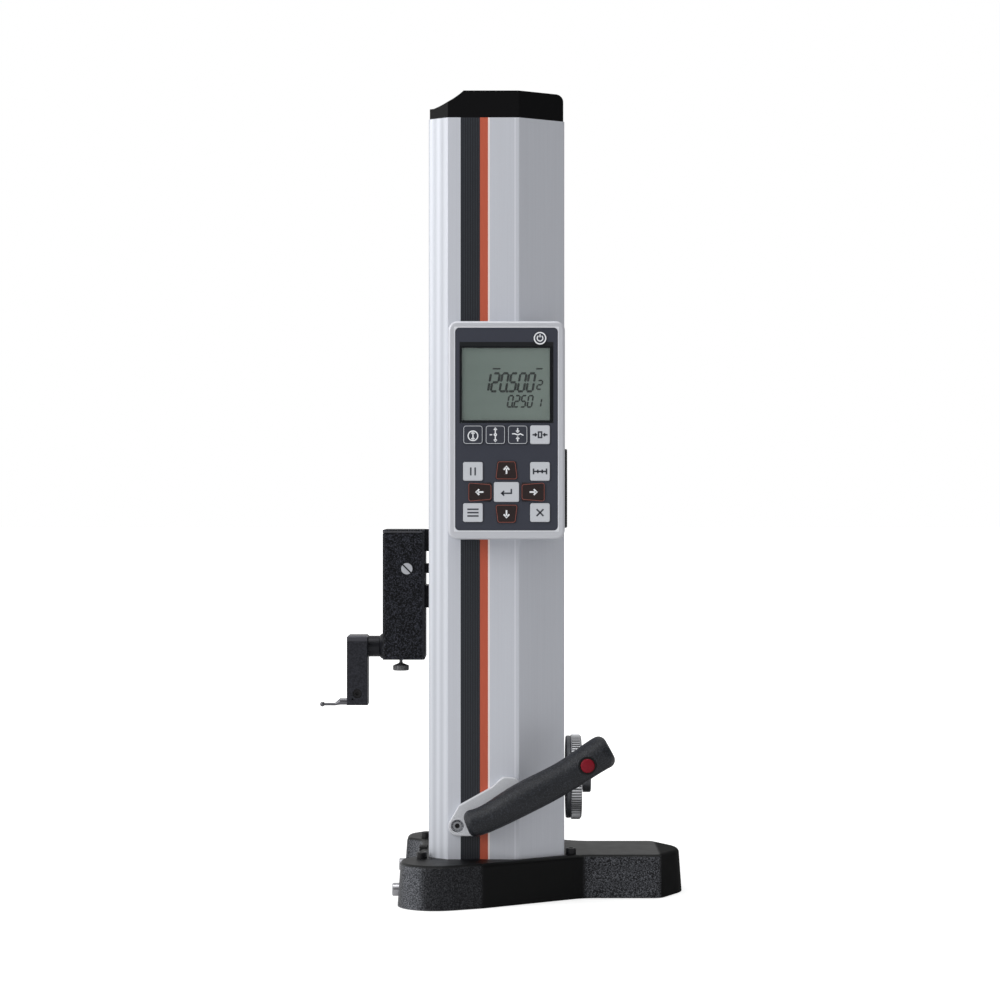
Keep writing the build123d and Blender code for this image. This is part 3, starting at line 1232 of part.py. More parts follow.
def grip_bracket():
    """A cast plate on the column's side with two posts that enter the grip."""
    corners = [on_side(*place) for place, _ in BRACKET_CORNERS]
    plate = outline(corners, [radius for _, radius in BRACKET_CORNERS])
    face = -SIDE - BRACKET_THICKNESS
    bracket = prism_y(plate, (face, -SIDE))
    bracket = fillet(bracket.edges().group_by(Axis.Y)[0], 1.2)
    for x, z in post_places():
        bracket += rod_y(POST_DIAMETER, x, (face - POST_LENGTH, face), z)
    x, z = bracket_screw_place()
    bracket -= rod_y(BRACKET_RECESS_DIAMETER, x, (face, face + BRACKET_SCREW_RECESS), z)
    return bracket - rod_y(BRACKET_SCREW_SHANK + 2 * SCREW_PLAY, x, (face, -SIDE), z)


def grip_sections():
    """Circles square to the grip's axis at each station."""
    centres = [Vector(*on_side(x, z)) for x, z, _ in GRIP_STATIONS]
    last = len(centres) - 1
    sections = []
    for place, (_, _, diameter) in enumerate(GRIP_STATIONS):
        run = centres[min(place + 1, last)] - centres[max(place - 1, 0)]
        centre = centres[place]
        plane = Plane(origin=(centre.X, GRIP_Y, centre.Y), z_dir=(run.X, 0, run.Y), x_dir=(0, 1, 0))
        sections.append(plane * Circle(diameter / 2))
    return sections


def button_limits():
    face = GRIP_Y - GRIP_STATIONS[4][2] / 2
    return face - BUTTON_RISE, face - BUTTON_RISE + BUTTON_LENGTH


def grip():
    """The rubber grip with bores for the posts and a collar round the air button."""
    body = loft(grip_sections())
    ends = body.edges().sort_by(Axis.X)
    body = fillet(ends[0], GRIP_END_RADIUS)
    body = fillet(body.edges().sort_by(Axis.X)[-1], GRIP_HEAD_RADIUS)
    post_end = -SIDE - BRACKET_THICKNESS - POST_LENGTH
    for x, z in post_places():
        body -= rod_y(POST_DIAMETER + 2 * RUNNING_FIT, x, (post_end - SLIDE_GAP, -SIDE), z)
    x, z = on_side(*BUTTON_STATION)
    front, back = button_limits()
    ring = BUTTON_DIAMETER + 2 * (SLIDE_GAP + BUTTON_RING)
    body += rod_y(ring, x, (front + BUTTON_RISE - 0.4, back), z)
    return body - rod_y(BUTTON_DIAMETER + 2 * SLIDE_GAP, x, (front - 1, back + BUTTON_TRAVEL + 0.5), z)


def air_button():
    x, z = on_side(*BUTTON_STATION)
    button = rod_y(BUTTON_DIAMETER, x, button_limits(), z)
    return fillet(button.edges().group_by(Axis.Y)[0], BUTTON_EDGE)


# ---------------------------------------------------------------- every piece, by name

pieces = {
    "base_casting": base_casting,
    "base_bottom_covers": base_bottom_covers,
    "air_pads": air_pads,
    "air_pump": air_pump,
    "battery_pack": battery_pack,
    "base_screws": base_screws,
    "steel_screws": steel_screws,
    "stop_pad": stop_pad,
    "near_side_cover": near_side_cover,
    "far_side_cover": far_side_cover,
    "front_strips": front_strips,
    "rear_cover": rear_cover,
    "dark_stripes": dark_stripes,
    "orange_stripes": orange_stripes,
    "top_cap": top_cap,
    "rear_connector_panel": rear_connector_panel,
    "guide_column": guide_column,
    "linear_rail": linear_rail,
    "scale_strip": scale_strip,
    "drive_band": drive_band,
    "idler_bracket": idler_bracket,
    "idler_pulley": idler_pulley,
    "shaft_bearings": shaft_bearings,
    "wheel_shaft": wheel_shaft,
    "handwheel_hub": handwheel_hub,
    "handwheel_rim": handwheel_rim,
    "counterweight": counterweight,
    "rail_bearings": rail_bearings,
    "slider_bracket": slider_bracket,
    "band_arm": band_arm,
    "read_head": read_head,
    "slider_cover": slider_cover,
    "probe_bearing": probe_bearing,
    "side_screw": side_screw,
    "clamp_knob": clamp_knob,
    "probe_spindle": probe_spindle,
    "probe_arm": probe_arm,
    "stylus_clamp_screw": stylus_clamp_screw,
    "stylus": stylus,
    "display_housing": display_housing,
    "key_panel": key_panel,
    "lcd_window": lcd_window,
    "lcd_module": lcd_module,
    "grip_bracket": grip_bracket,
    "grip": grip,
    "air_button": air_button,
}

os.makedirs("parts", exist_ok=True)
for name, make in pieces.items():
    export_step(make(), f"parts/{name}.step")
for name, (face, place) in keys().items():
    export_step(key_cap(face, place), f"parts/{name}.step")
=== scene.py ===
import math

import bmesh
import bpy
from mathutils import Matrix, Vector


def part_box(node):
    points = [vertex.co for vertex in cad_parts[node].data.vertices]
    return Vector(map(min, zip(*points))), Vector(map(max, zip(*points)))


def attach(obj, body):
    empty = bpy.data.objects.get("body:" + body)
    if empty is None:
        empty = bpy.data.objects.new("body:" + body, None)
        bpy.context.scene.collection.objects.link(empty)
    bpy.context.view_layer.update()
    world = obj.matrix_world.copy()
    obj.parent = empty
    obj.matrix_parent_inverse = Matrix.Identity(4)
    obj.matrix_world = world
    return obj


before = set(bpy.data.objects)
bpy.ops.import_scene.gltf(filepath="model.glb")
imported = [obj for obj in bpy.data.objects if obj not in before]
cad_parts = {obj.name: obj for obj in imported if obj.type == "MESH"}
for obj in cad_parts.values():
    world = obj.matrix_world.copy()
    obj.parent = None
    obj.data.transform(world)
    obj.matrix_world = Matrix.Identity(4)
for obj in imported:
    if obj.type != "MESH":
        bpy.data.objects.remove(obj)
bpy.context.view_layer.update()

# ---------------------------------------------------------------- base casting
# The foot of the gauge: a grey iron casting with two toes and a tail, so that it slides on a surface plate.
# It is sprayed with black hammertone paint. The deck, the waist and the end of the tail are rubbed down and
# coated smooth.


def paint(red, green, blue):
    """A colour given as on a paint card, from 0 to 255."""
    return tuple(((c / 255 + 0.055) / 1.055) ** 2.4 if c > 10 else c / 255 / 12.92
                 for c in (red, green, blue)) + (1.0,)


class Value:
    """A number, colour or vector in a tree of nodes. Arithmetic on it adds Math nodes."""

    def __init__(self, nodes, socket):
        self.nodes, self.socket = nodes, socket

    def maths(self, operation, *others):
        """A Math node that takes this value first."""
        return self.nodes.maths(operation, self, *others)

    def __add__(self, other):
        return self.maths("ADD", other)

    def __radd__(self, other):
        return self.nodes.maths("ADD", other, self)

    def __sub__(self, other):
        return self.maths("SUBTRACT", other)

    def __rsub__(self, other):
        return self.nodes.maths("SUBTRACT", other, self)

    def __mul__(self, other):
        return self.maths("MULTIPLY", other)

    def __rmul__(self, other):
        return self.nodes.maths("MULTIPLY", other, self)

    def __truediv__(self, other):
        return self.maths("DIVIDE", other)

    def __rtruediv__(self, other):
        return self.nodes.maths("DIVIDE", other, self)

    def __abs__(self):
        return self.maths("ABSOLUTE")

    def rise(self, low, high):
        """From 0 at low to 1 at high, with soft ends."""
        return self.nodes.add("ShaderNodeMapRange", {"interpolation_type": "SMOOTHSTEP"},
                              {"Value": self, "From Min": low, "From Max": high})

    def below(self, limit, edge=0.0001):
        """1 below limit and 0 above it. The step between them reaches edge to either side."""
        return 1 - self.rise(limit - edge, limit + edge)

    def inside(self, low, high, edge=0.0001):
        """1 between low and high, and 0 outside."""
        return self.rise(low - edge, low + edge) * self.below(high, edge)


def larger(first, *others):
    """The largest of some values. For masks it is the place where any of them is."""
    for other in others:
        first = first.maths("MAXIMUM", other)
    return first


class Nodes:
    """Adds nodes to a tree, each with its settings and its inputs in one call."""

    def __init__(self, tree):
        self.tree = tree

    def feed(self, socket, value):
        if isinstance(value, Value):
            self.tree.links.new(value.socket, socket)
        else:
            socket.default_value = value

    def add(self, kind, settings=None, inputs=None, output=0):
        node = self.tree.nodes.new(kind)
        for name, setting in (settings or {}).items():
            setattr(node, name, setting)
        for name, value in (inputs or {}).items():
            self.feed(node.inputs[name], value)
        return Value(self, node.outputs[output])

    def maths(self, operation, *values):
        return self.add("ShaderNodeMath", {"operation": operation}, dict(enumerate(values)))

    def part(self, vector, axis):
        """One coordinate of a vector."""
        return self.add("ShaderNodeSeparateXYZ", None, {0: vector}, "XYZ".index(axis))


class Finish(Nodes):
    """A finish on one Principled shader, with its patterns placed in the object's own coordinates."""

    def __init__(self, name, **sockets):
        self.material = bpy.data.materials.new(name)
        self.material.use_nodes = True
        super().__init__(self.material.node_tree)
        self.shader = self.tree.nodes["Principled BSDF"]
        self.place = self.add("ShaderNodeTexCoord", output="Object")
        self.give(**sockets)

    def give(self, **sockets):
        """Sets or links the shader's sockets, named with underscores for spaces."""
        for name, value in sockets.items():
            self.feed(self.shader.inputs[name.replace("_", " ").title().replace("Ior", "IOR")], value)

    def along(self, axis):
        return self.part(self.place, axis)

    def from_axis(self, axes, centre):
        """The distance from a line that is square to two axes and goes through centre."""
        one, two = (self.along(axis) - middle for axis, middle in zip(axes, centre))
        return (one * one + two * two).maths("SQRT")

    def noise(self, grain, detail=3.0, squeeze=None):
        """Cloudy noise whose lumps are about grain metres across, divided by squeeze along X, Y and Z."""
        place = self.place
        if squeeze:
            place = self.add("ShaderNodeMapping", None, {"Vector": place, "Scale": squeeze})
        return self.add("ShaderNodeTexNoise", None, {"Vector": place, "Scale": 1 / grain, "Detail": detail})

    def cells(self, grain, feature="F1"):
        """The distance from the middles of small cells, about grain metres across."""
        return self.add("ShaderNodeTexVoronoi", {"feature": feature},
                        {"Vector": self.place, "Scale": 1 / grain}, "Distance")

    def mixed(self, share, first, second):
        return self.add("ShaderNodeMix", {"data_type": "RGBA"}, {0: share, 6: first, 7: second}, 2)

    def bump(self, height, depth, strength=1.0):
        """Normals of a surface whose height runs from 0 to 1 over depth metres."""
        self.give(normal=self.add("ShaderNodeBump", None,
                                  {"Height": height, "Distance": depth, "Strength": strength}))

    def grained(self, grain, first, second, roughness, depth=None):
        """A plain finish: one grain carries the colour, the roughness and, to a depth in metres, the height.

        The roughness is given as what it is at least and what the grain adds to it."""
        least, added = roughness
        self.give(base_color=self.mixed(grain, first, second), roughness=least + added * grain)
        if depth:
            self.bump(grain, depth)

    def on(self, *nodes):
        """Puts the finish on CAD nodes."""
        for node in nodes:
            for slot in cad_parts[node].material_slots:
                slot.material = self.material


DECK_EDGE = (0.0385, 0.0412)        # heights between which the paint gives way to the smooth deck
WAIST_FRONT = (-0.0605, -0.0565)    # where the smooth waist between toe and tail begins
WAIST_REAR = (0.0385, 0.0445)       # and where it ends
TAIL_END = (0.1135, 0.1175)         # where the smooth end of the tail begins
TOE_GLINT = (-0.1335, -0.1165)     # the stretch of the toe painted paler, a painted highlight where its round corner faces the left lamp
TOE_SPECK_HIGHLIGHT = (-0.124, -0.108)       # the specks are painted lighter from the toe's tip to here, as a painted highlight
BRIGHT_TAIL = (0.0, 0.06)           # and from here to the tail

hammertone = Finish("hammertone black on iron", specular_ior_level=0.18)
along_base = hammertone.along("X")
deck = hammertone.along("Z").rise(*DECK_EDGE)
waist = along_base.rise(*WAIST_FRONT) * (1 - along_base.rise(*WAIST_REAR))
tail_end = along_base.rise(*TAIL_END)
smooth = larger(deck, waist, tail_end)
# Painted highlight: the toe's round corner is painted paler, in both ground and specks, where it faces the
# left lamp.
painted_toe_glint = along_base.inside(*TOE_GLINT, 0.004)
# The specks are painted lighter towards the toe's tip, as a painted highlight, and towards the tail.
lighter_specks_at_ends = larger(along_base.rise(*BRIGHT_TAIL), 1 - along_base.rise(*TOE_SPECK_HIGHLIGHT))
dimples = hammertone.cells(0.0021, "SMOOTH_F1")
grit = hammertone.noise(0.0011, 4.0)
mottle = hammertone.noise(0.012)
specks = grit.rise(0.38, 0.74) * (1 - smooth) * (0.32 + 0.68 * lighter_specks_at_ends)
ground = hammertone.mixed(painted_toe_glint, paint(14, 15, 18), paint(46, 48, 52))
hammertone.give(
    base_color=hammertone.mixed(
        specks, hammertone.mixed(smooth, ground, paint(5, 6, 7)),
        hammertone.mixed(painted_toe_glint, paint(108, 110, 116), paint(124, 126, 132))),
    roughness=0.34 + 0.12 * mottle + 0.08 * smooth + 0.4 * tail_end)
hammertone.bump((dimples * 0.8 + grit * 0.7) * (1 - smooth) + 0.03 * grit, 0.0007, 0.8)
hammertone.on("base_casting")

# ---------------------------------------------------------------- under the base
# Two milled aluminium plates close the pockets, and three lapped brass pads carry the gauge on a film of air.
# The pump and its battery sit in the pockets in plain moulded cases.

milled = Finish("milled aluminium", metallic=0.9)
milled.grained(milled.noise(0.0006, 2.0, (1, 18, 1)), paint(168, 170, 174), paint(196, 198, 202),
               roughness=(0.3, 0.15), depth=0.00004)
milled.on("base_bottom_covers")

lapped_brass = Finish("lapped brass", metallic=1.0)
lapped_brass.grained(lapped_brass.noise(0.0012, 5.0), paint(176, 140, 78), paint(204, 170, 104),
                     roughness=(0.22, 0.2))
lapped_brass.on("air_pads")

moulded_case = Finish("grey moulded case")
moulded_case.grained(moulded_case.noise(0.0008), paint(84, 86, 90), paint(100, 102, 106),
                     roughness=(0.5, 0.1), depth=0.00005)
moulded_case.on("air_pump", "battery_pack")

# ---------------------------------------------------------------- screws
# Steel socket screws: blackened ones in the deck and in the probe arm, bright ones in the toes and in the
# grip's bracket. A slotted screw with a dark rim sits in the slider's side.

blackened = Finish("blackened steel", metallic=0.35)
blackened.grained(blackened.noise(0.002, 4.0), paint(16, 16, 18), paint(34, 34, 38), roughness=(0.32, 0.2))
blackened.on("base_screws", "stylus_clamp_screw")

BRACKET_SCREW = (-0.0825, 0.0748)   # X and Z
SOCKET_RADIUS = 0.0023
HEAD_RADIUS = 0.0056

screw_steel = Finish("screw steel", metallic=0.9)
turning = screw_steel.noise(0.0007)
from_screw = screw_steel.from_axis("XZ", BRACKET_SCREW)
# The bracket screw's socket is painted black and less metallic, as painted shade in the hole, and its head a
# little darker, as painted shade from the counterbore round it.
socket = from_screw.below(SOCKET_RADIUS, 0.0002)
shaded_bracket_head = from_screw.below(HEAD_RADIUS, 0.0004)
bright_head = screw_steel.mixed(turning, paint(160, 160, 164), paint(200, 200, 204))
screw_steel.give(
    base_color=screw_steel.mixed(
        socket, screw_steel.mixed(shaded_bracket_head, bright_head, paint(150, 152, 156)), paint(16, 16, 18)),
    metallic=0.9 - 0.8 * socket, roughness=0.24 + 0.16 * turning + 0.3 * socket)
screw_steel.bump(turning, 0.00003)
screw_steel.on("steel_screws")

SLOTTED_SCREW = (-0.133, 0.321)     # X and Z
SLOT_WIDTH = 0.0014
DARK_RIM = (0.0052, 0.0058)

slotted = Finish("slotted screw steel", metallic=0.6)
polish = slotted.noise(0.0008)
# The slot lies at 45 degrees, where x + z is 1.41 times the distance from its middle.
slot_line = abs((slotted.along("X") - SLOTTED_SCREW[0]) + (slotted.along("Z") - SLOTTED_SCREW[1]))
# The slot is painted dark, as painted shade in the slot.
slot = 1 - slot_line.rise(SLOT_WIDTH * 0.6, SLOT_WIDTH * 0.85)
dark_rim = slotted.from_axis("XZ", SLOTTED_SCREW).rise(*DARK_RIM)
slotted.give(
    base_color=slotted.mixed(larger(slot, dark_rim),
                             slotted.mixed(polish, paint(186, 188, 194), paint(214, 216, 222)),
                             paint(44, 46, 50)),
    roughness=0.3 + 0.14 * polish)
slotted.bump(polish, 0.00004)
slotted.on("side_screw")

# ---------------------------------------------------------------- stop pad
# A small rubber pad glued to the deck, which the slider's knob meets first.
# The rubber is black, with a little dust in its pores.

pad_rubber = Finish("stop pad rubber", roughness=0.75)
pad_dust = pad_rubber.noise(0.0015, 4.0)
pad_rubber.give(base_color=pad_rubber.mixed(pad_dust, paint(18, 18, 20), paint(34, 34, 36)))
pad_rubber.on("stop_pad")

# ---------------------------------------------------------------- column covers
# Extruded aluminium covers round the guide column, satin anodised in silver. Shallow flutes run up the front
# corners, where the two halves meet the front strips.

COLUMN_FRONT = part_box("front_strips")[0][0]
FACET_LENGTH = 0.0184       # the corner that carries the flutes
FACET_REAR = COLUMN_FRONT + FACET_LENGTH
FLUTE_PITCH = 0.375         # as a share of the facet
FIRST_FLUTE = 0.12
HOLLOW = 1.24               # the facet is hollow, and deepest at half of this share
GROOVE_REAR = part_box("orange_stripes")[1][0]
LIP_HIGHLIGHT_WIDTH = 0.0017         # the width of the painted highlight on the lip behind the orange stripe
ARRIS = (-0.0275, -0.0261)  # where the flat side turns into the long chamfer

anodised = Finish("satin anodised covers", metallic=0.25, specular_ior_level=0.35)
draw = anodised.noise(0.0016, 2.0, (1, 1, 0.01))
grain = anodised.noise(0.0007)
along_cover = anodised.along("X")
across = ((along_cover - COLUMN_FRONT) / FACET_LENGTH).maths("MINIMUM", 1.0)
hollow = across * (HOLLOW - across)
crown = ((across - FIRST_FLUTE) * (2 * math.pi / FLUTE_PITCH) + math.pi / 2).maths("SINE")
on_facet = 1 - along_cover.rise(FACET_REAR - 0.001, FACET_REAR)
# A painted highlight on the lip behind the orange stripe.
painted_lip_highlight = along_cover.inside(GROOVE_REAR, GROOVE_REAR + LIP_HIGHLIGHT_WIDTH)
# A painted highlight runs along the arris.
painted_arris_highlight = along_cover.inside(*ARRIS, 0.0003)
drawn = anodised.mixed(draw * 0.6 + grain * 0.4, paint(200, 203, 211), paint(212, 215, 223))
# Painted shading: each flute's lit and shaded bands are painted into the colour, lighter on its crown.
painted_flute_shading = anodised.mixed(0.5 + 0.5 * crown, paint(184, 187, 194), paint(206, 209, 216))
arris_highlighted = anodised.mixed(painted_arris_highlight, drawn, paint(222, 224, 232))
anodised.give(
    base_color=anodised.mixed(
        painted_lip_highlight, anodised.mixed(on_facet * 0.85, arris_highlighted, painted_flute_shading), paint(252, 236, 232)),
    roughness=0.4 + 0.08 * grain)
anodised.bump(hollow * -5 + crown * 0.15 + grain * 0.02 + draw * 0.03, 0.0005)
anodised.on("near_side_cover", "far_side_cover", "front_strips", "rear_cover")

# ---------------------------------------------------------------- stripes
# A ribbed dark inlay and a narrow orange one slide into a groove in each cover and hide its screws.
# Both are extruded plastic, so their grain runs up the column.

STRIPE_FRONT, STRIPE_REAR = (corner[0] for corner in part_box("dark_stripes"))
STRIPE_RIBS = 8

ribbed = Finish("ribbed dark inlay", specular_ior_level=0.35)
ribbed_grain = ribbed.noise(0.0009, 3.0, (1, 1, 0.08))
rib = (ribbed.along("X") - STRIPE_FRONT) * (2 * math.pi * STRIPE_RIBS / (STRIPE_REAR - STRIPE_FRONT))
# Painted shading: the ribs' crests are painted lighter than the hollows between them.
painted_rib_shading = 0.5 - 0.5 * rib.maths("COSINE")
ribbed.give(base_color=ribbed.mixed(painted_rib_shading * 0.8 + ribbed_grain * 0.2, paint(28, 31, 37), paint(60, 64, 71)),
            roughness=0.42 + 0.12 * ribbed_grain)
ribbed.bump(ribbed_grain, 0.00004)
ribbed.on("dark_stripes")

orange = Finish("orange inlay", specular_ior_level=0.35)
orange.grained(orange.noise(0.0012, 3.0, (1, 1, 0.1)), paint(182, 82, 58), paint(194, 92, 66),
               roughness=(0.44, 0.1), depth=0.00003)
orange.on("orange_stripes")

# ---------------------------------------------------------------- top cap and rear connector panel
# Moulded black caps: one closes the column's top, and the other carries the charger's jack and the data port.
# A pale outline is printed round each of the two sockets, and the jack has a bright pin.

moulded_black = Finish("moulded black cap", specular_ior_level=0.12)
moulded_black.grained(moulded_black.noise(0.0007, 4.0), paint(9, 9, 10), paint(14, 14, 16),
                      roughness=(0.36, 0.14), depth=0.00008)
moulded_black.on("top_cap")

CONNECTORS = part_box("rear_connector_panel")
CONNECTOR_MIDDLE = (CONNECTORS[0][2] + CONNECTORS[1][2]) / 2
CONNECTOR_STEP = 0.013      # jack above the middle, port below it
JACK_RADIUS = 0.0058
PIN_RADIUS = 0.0012
PORT_HALF = (0.0095, 0.005)
OUTLINE = 0.0007

connector_black = Finish("moulded black panel with printed outlines", specular_ior_level=0.2)
connector_grain = connector_black.noise(0.0007, 4.0)
from_jack = connector_black.from_axis("YZ", (0.0, CONNECTOR_MIDDLE + CONNECTOR_STEP))
port_y = abs(connector_black.along("Y")) - PORT_HALF[0]
port_z = abs(connector_black.along("Z") - (CONNECTOR_MIDDLE - CONNECTOR_STEP)) - PORT_HALF[1]
jack_outline = from_jack.inside(JACK_RADIUS, JACK_RADIUS + OUTLINE)
port_outline = larger(port_y, port_z).inside(0.0, OUTLINE)
connector_black.give(
    base_color=connector_black.mixed(
        larger(jack_outline, port_outline, from_jack.below(PIN_RADIUS)),
        connector_black.mixed(connector_grain, paint(17, 17, 19), paint(27, 27, 30)), paint(176, 178, 182)),
    roughness=0.36 + 0.14 * connector_grain)
connector_black.bump(connector_grain, 0.00008)
connector_black.on("rear_connector_panel")

# ---------------------------------------------------------------- guide column and lift
# Inside the covers a ground steel column carries the rail, the scale, the band's pulleys and the
# counterweight. Rail, scale, band and bearings are bright steel. The slider's bracket, the read head and the
# arm's bearing and spindle are black anodised, and the idler and the band's arm are milled aluminium.

ground_steel = Finish("ground steel", metallic=1.0)
ground_steel.grained(ground_steel.noise(0.0005, 3.0, (1, 1, 0.05)),
                     paint(138, 138, 142), paint(172, 172, 176), roughness=(0.26, 0.2), depth=0.00003)
ground_steel.on("guide_column", "idler_bracket", "wheel_shaft", "counterweight", "rail_bearings")

bright_steel = Finish("bright turned steel", metallic=1.0)
bright_steel.grained(bright_steel.noise(0.0008, 3.0, (6, 1, 1)),
                     paint(150, 150, 154), paint(190, 190, 194), roughness=(0.2, 0.14), depth=0.00003)
bright_steel.on("shaft_bearings", "linear_rail", "scale_strip", "drive_band")

black_anodised = Finish("black anodised aluminium", metallic=0.3, specular_ior_level=0.3)
black_anodised.grained(black_anodised.noise(0.0008, 3.0, (1, 1, 6)), paint(24, 25, 29), paint(40, 41, 47),
                       roughness=(0.3, 0.12), depth=0.00003)
black_anodised.on("slider_bracket", "read_head", "probe_bearing", "probe_spindle")
milled.on("idler_pulley", "band_arm")

# ---------------------------------------------------------------- slider cover
# The slider's cast cover, in the same black hammertone as the base but finer.
# A thin grey line is painted just under its upper edge, as a painted highlight.

SLIDER_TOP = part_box("slider_cover")[1][2]
SLIDER_EDGE_HIGHLIGHT = (SLIDER_TOP - 0.0030, SLIDER_TOP - 0.0014)

slider_paint = Finish("fine hammertone on the slider", specular_ior_level=0.14)
pits = slider_paint.cells(0.0016, "SMOOTH_F1")
slider_grit = slider_paint.noise(0.0011, 4.0)
# A painted highlight: a thin grey line just under the upper edge.
slider_paint.give(
    base_color=slider_paint.mixed(
        slider_paint.along("Z").inside(*SLIDER_EDGE_HIGHLIGHT, 0.0004),
        slider_paint.mixed(slider_grit.rise(0.42, 0.75), paint(5, 6, 8), paint(64, 66, 75)),
        paint(74, 74, 78)),
    roughness=0.34 + 0.16 * slider_grit)
slider_paint.bump(pits * 0.8 + slider_grit * 0.6, 0.0005, 0.8)
slider_paint.on("slider_cover")

# ---------------------------------------------------------------- probe arm, stylus and clamp knob
# The arm turns on the spindle and holds a ground steel stylus with a small socket screw in a recess. It is
# black anodised aluminium, with a painted highlight along its upper edges and its recess painted black as
# painted shade. A fluted grey knob under the slider clamps it.

ARM_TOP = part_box("probe_arm")[1][2]
ARM_TOP_HIGHLIGHT = (ARM_TOP - 0.0062, ARM_TOP - 0.0046)
STYLUS_SCREW = (-0.183, 0.1965)     # X and Z
RECESS_RADIUS = 0.0045

arm_finish = Finish("probe arm", metallic=0.3, specular_ior_level=0.3)
arm_marks = arm_finish.noise(0.0014, 4.0)
arm_black = arm_finish.mixed(arm_marks.rise(0.3, 0.75), paint(30, 31, 36), paint(52, 53, 60))
# The recess round the stylus screw is painted near black, as painted shade, and a painted highlight runs
# along the upper edges.
arm_finish.give(
    base_color=arm_finish.mixed(
        arm_finish.from_axis("XZ", STYLUS_SCREW).below(RECESS_RADIUS, 0.0003),
        arm_finish.mixed(arm_finish.along("Z").rise(*ARM_TOP_HIGHLIGHT), arm_black, paint(74, 74, 80)),
        paint(3, 3, 4)),
    roughness=0.32 + 0.12 * arm_marks)
arm_finish.bump(arm_marks, 0.00004)
arm_finish.on("probe_arm")

knob_finish = Finish("clamp knob", metallic=0.3, specular_ior_level=0.4)
knob_finish.grained(knob_finish.noise(0.0008), paint(100, 100, 102), paint(134, 134, 136),
                    roughness=(0.34, 0.12), depth=0.00004)
knob_finish.on("clamp_knob")

stylus_steel = Finish("ground stylus steel", metallic=0.8)
stylus_steel.grained(stylus_steel.noise(0.0007, 3.0, (0.2, 1, 1)), paint(84, 84, 88), paint(126, 126, 130),
                     roughness=(0.22, 0.14), depth=0.00003)
stylus_steel.on("stylus")

# ---------------------------------------------------------------- display housing, panel and window
# A painted die-cast frame round a dark moulded panel. The window is clear acrylic with a black border printed
# on its back, and the border's upper edge carries on over the panel.


def rectangle(finish, left, right, bottom, top):
    """1 inside a rectangle on the front, and 0 outside."""
    return finish.along("X").inside(left, right) * finish.along("Z").inside(bottom, top)


panel_low, panel_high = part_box("key_panel")
BEZEL_HIGHLIGHT_WIDTH = 0.0011          # the width of the painted highlight along the bezel's inner edge round the panel

housing_paint = Finish("silver housing paint", metallic=0.25, specular_ior_level=0.4)
flake = housing_paint.noise(0.0004, 2.0)
# A painted highlight along the bezel's inner edge round the panel.
bezel_highlight = rectangle(housing_paint, panel_low[0] - BEZEL_HIGHLIGHT_WIDTH, panel_high[0] + BEZEL_HIGHLIGHT_WIDTH,
                panel_low[2] - BEZEL_HIGHLIGHT_WIDTH, panel_high[2] + BEZEL_HIGHLIGHT_WIDTH)
housing_paint.give(
    base_color=housing_paint.mixed(
        bezel_highlight, housing_paint.mixed(flake, paint(196, 198, 205), paint(210, 212, 218)), paint(234, 236, 242)),
    roughness=0.36 + 0.1 * flake)
housing_paint.bump(flake, 0.00003)
housing_paint.on("display_housing")

window_low, window_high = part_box("lcd_window")
BORDER_SIDE = 0.0006        # printed border beside and below the window
BORDER_RISE = 0.0043        # and above it

panel_finish = Finish("slate panel", specular_ior_level=0.4)
panel_grain = panel_finish.noise(0.0006)
print_band = rectangle(panel_finish, window_low[0] - BORDER_SIDE, window_high[0] + BORDER_SIDE,
                       window_low[2] - BORDER_SIDE, window_high[2] + BORDER_RISE)
panel_finish.give(
    base_color=panel_finish.mixed(
        print_band, panel_finish.mixed(panel_grain, paint(48, 51, 62), paint(58, 61, 73)), paint(22, 25, 28)),
    roughness=0.42 + 0.12 * panel_grain - 0.15 * print_band)
panel_finish.bump(panel_grain, 0.00004)
panel_finish.on("key_panel")

CLEAR = (-0.0777, 0.0061, 0.4648, 0.5338)   # left, right, bottom and top of the clear part

window_finish = Finish("clear window with a printed border", specular_ior_level=0.5, roughness=0.12)
window_print = 1 - rectangle(window_finish, *CLEAR)
haze = window_finish.noise(0.02)
window_finish.give(base_color=window_finish.mixed(window_print, paint(190, 200, 196), paint(22, 25, 28)),
                   alpha=0.06 + 0.04 * haze + 0.9 * window_print)
window_finish.on("lcd_window")

# ---------------------------------------------------------------- liquid crystal display
# A grey-green reflective display. Its digits are seven-segment figures that lean to the right, each segment a
# thin dark film on the glass. Two small index figures and two plain marks stand beside them.

lcd_finish = Finish("liquid crystal", roughness=0.5, specular_ior_level=0.2)
lcd_shade = lcd_finish.along("X").rise(-0.085, 0.012) * 0.5 + 0.3 * lcd_finish.noise(0.03)
lcd_finish.give(base_color=lcd_finish.mixed(lcd_shade, paint(104, 118, 112), paint(126, 138, 132)))
lcd_finish.on("lcd_module")

segment_ink = Finish("display segment", roughness=0.5, specular_ior_level=0.2)
segment_ink.give(base_color=segment_ink.mixed(segment_ink.noise(0.001), paint(12, 17, 17), paint(20, 26, 26)))

LCD_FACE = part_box("lcd_module")[0][1]
FILM = 0.00006              # the thickness of a segment
FILM_STEP = 0.00001         # and how far its back stands off the glass
SLANT = 0.17                # how far a figure leans, as a share of its height
SHOULDER = 0.56             # gives a segment its pointed ends
SEGMENT_REACH = 0.9         # leaves a gap between one segment and the next
POINT_REACH = 1.1           # the length of a decimal point, as a share of the stroke
SEGMENTS = {"a": (0.5, 1.0, 0), "b": (1.0, 0.75, 1), "c": (1.0, 0.25, 1), "d": (0.5, 0.0, 0),
            "e": (0.0, 0.25, 1), "f": (0.0, 0.75, 1), "g": (0.5, 0.5, 0)}
LIT = {"0": "abcdef", "1": "bc", "2": "abdeg", "5": "acdfg", "-": "g"}


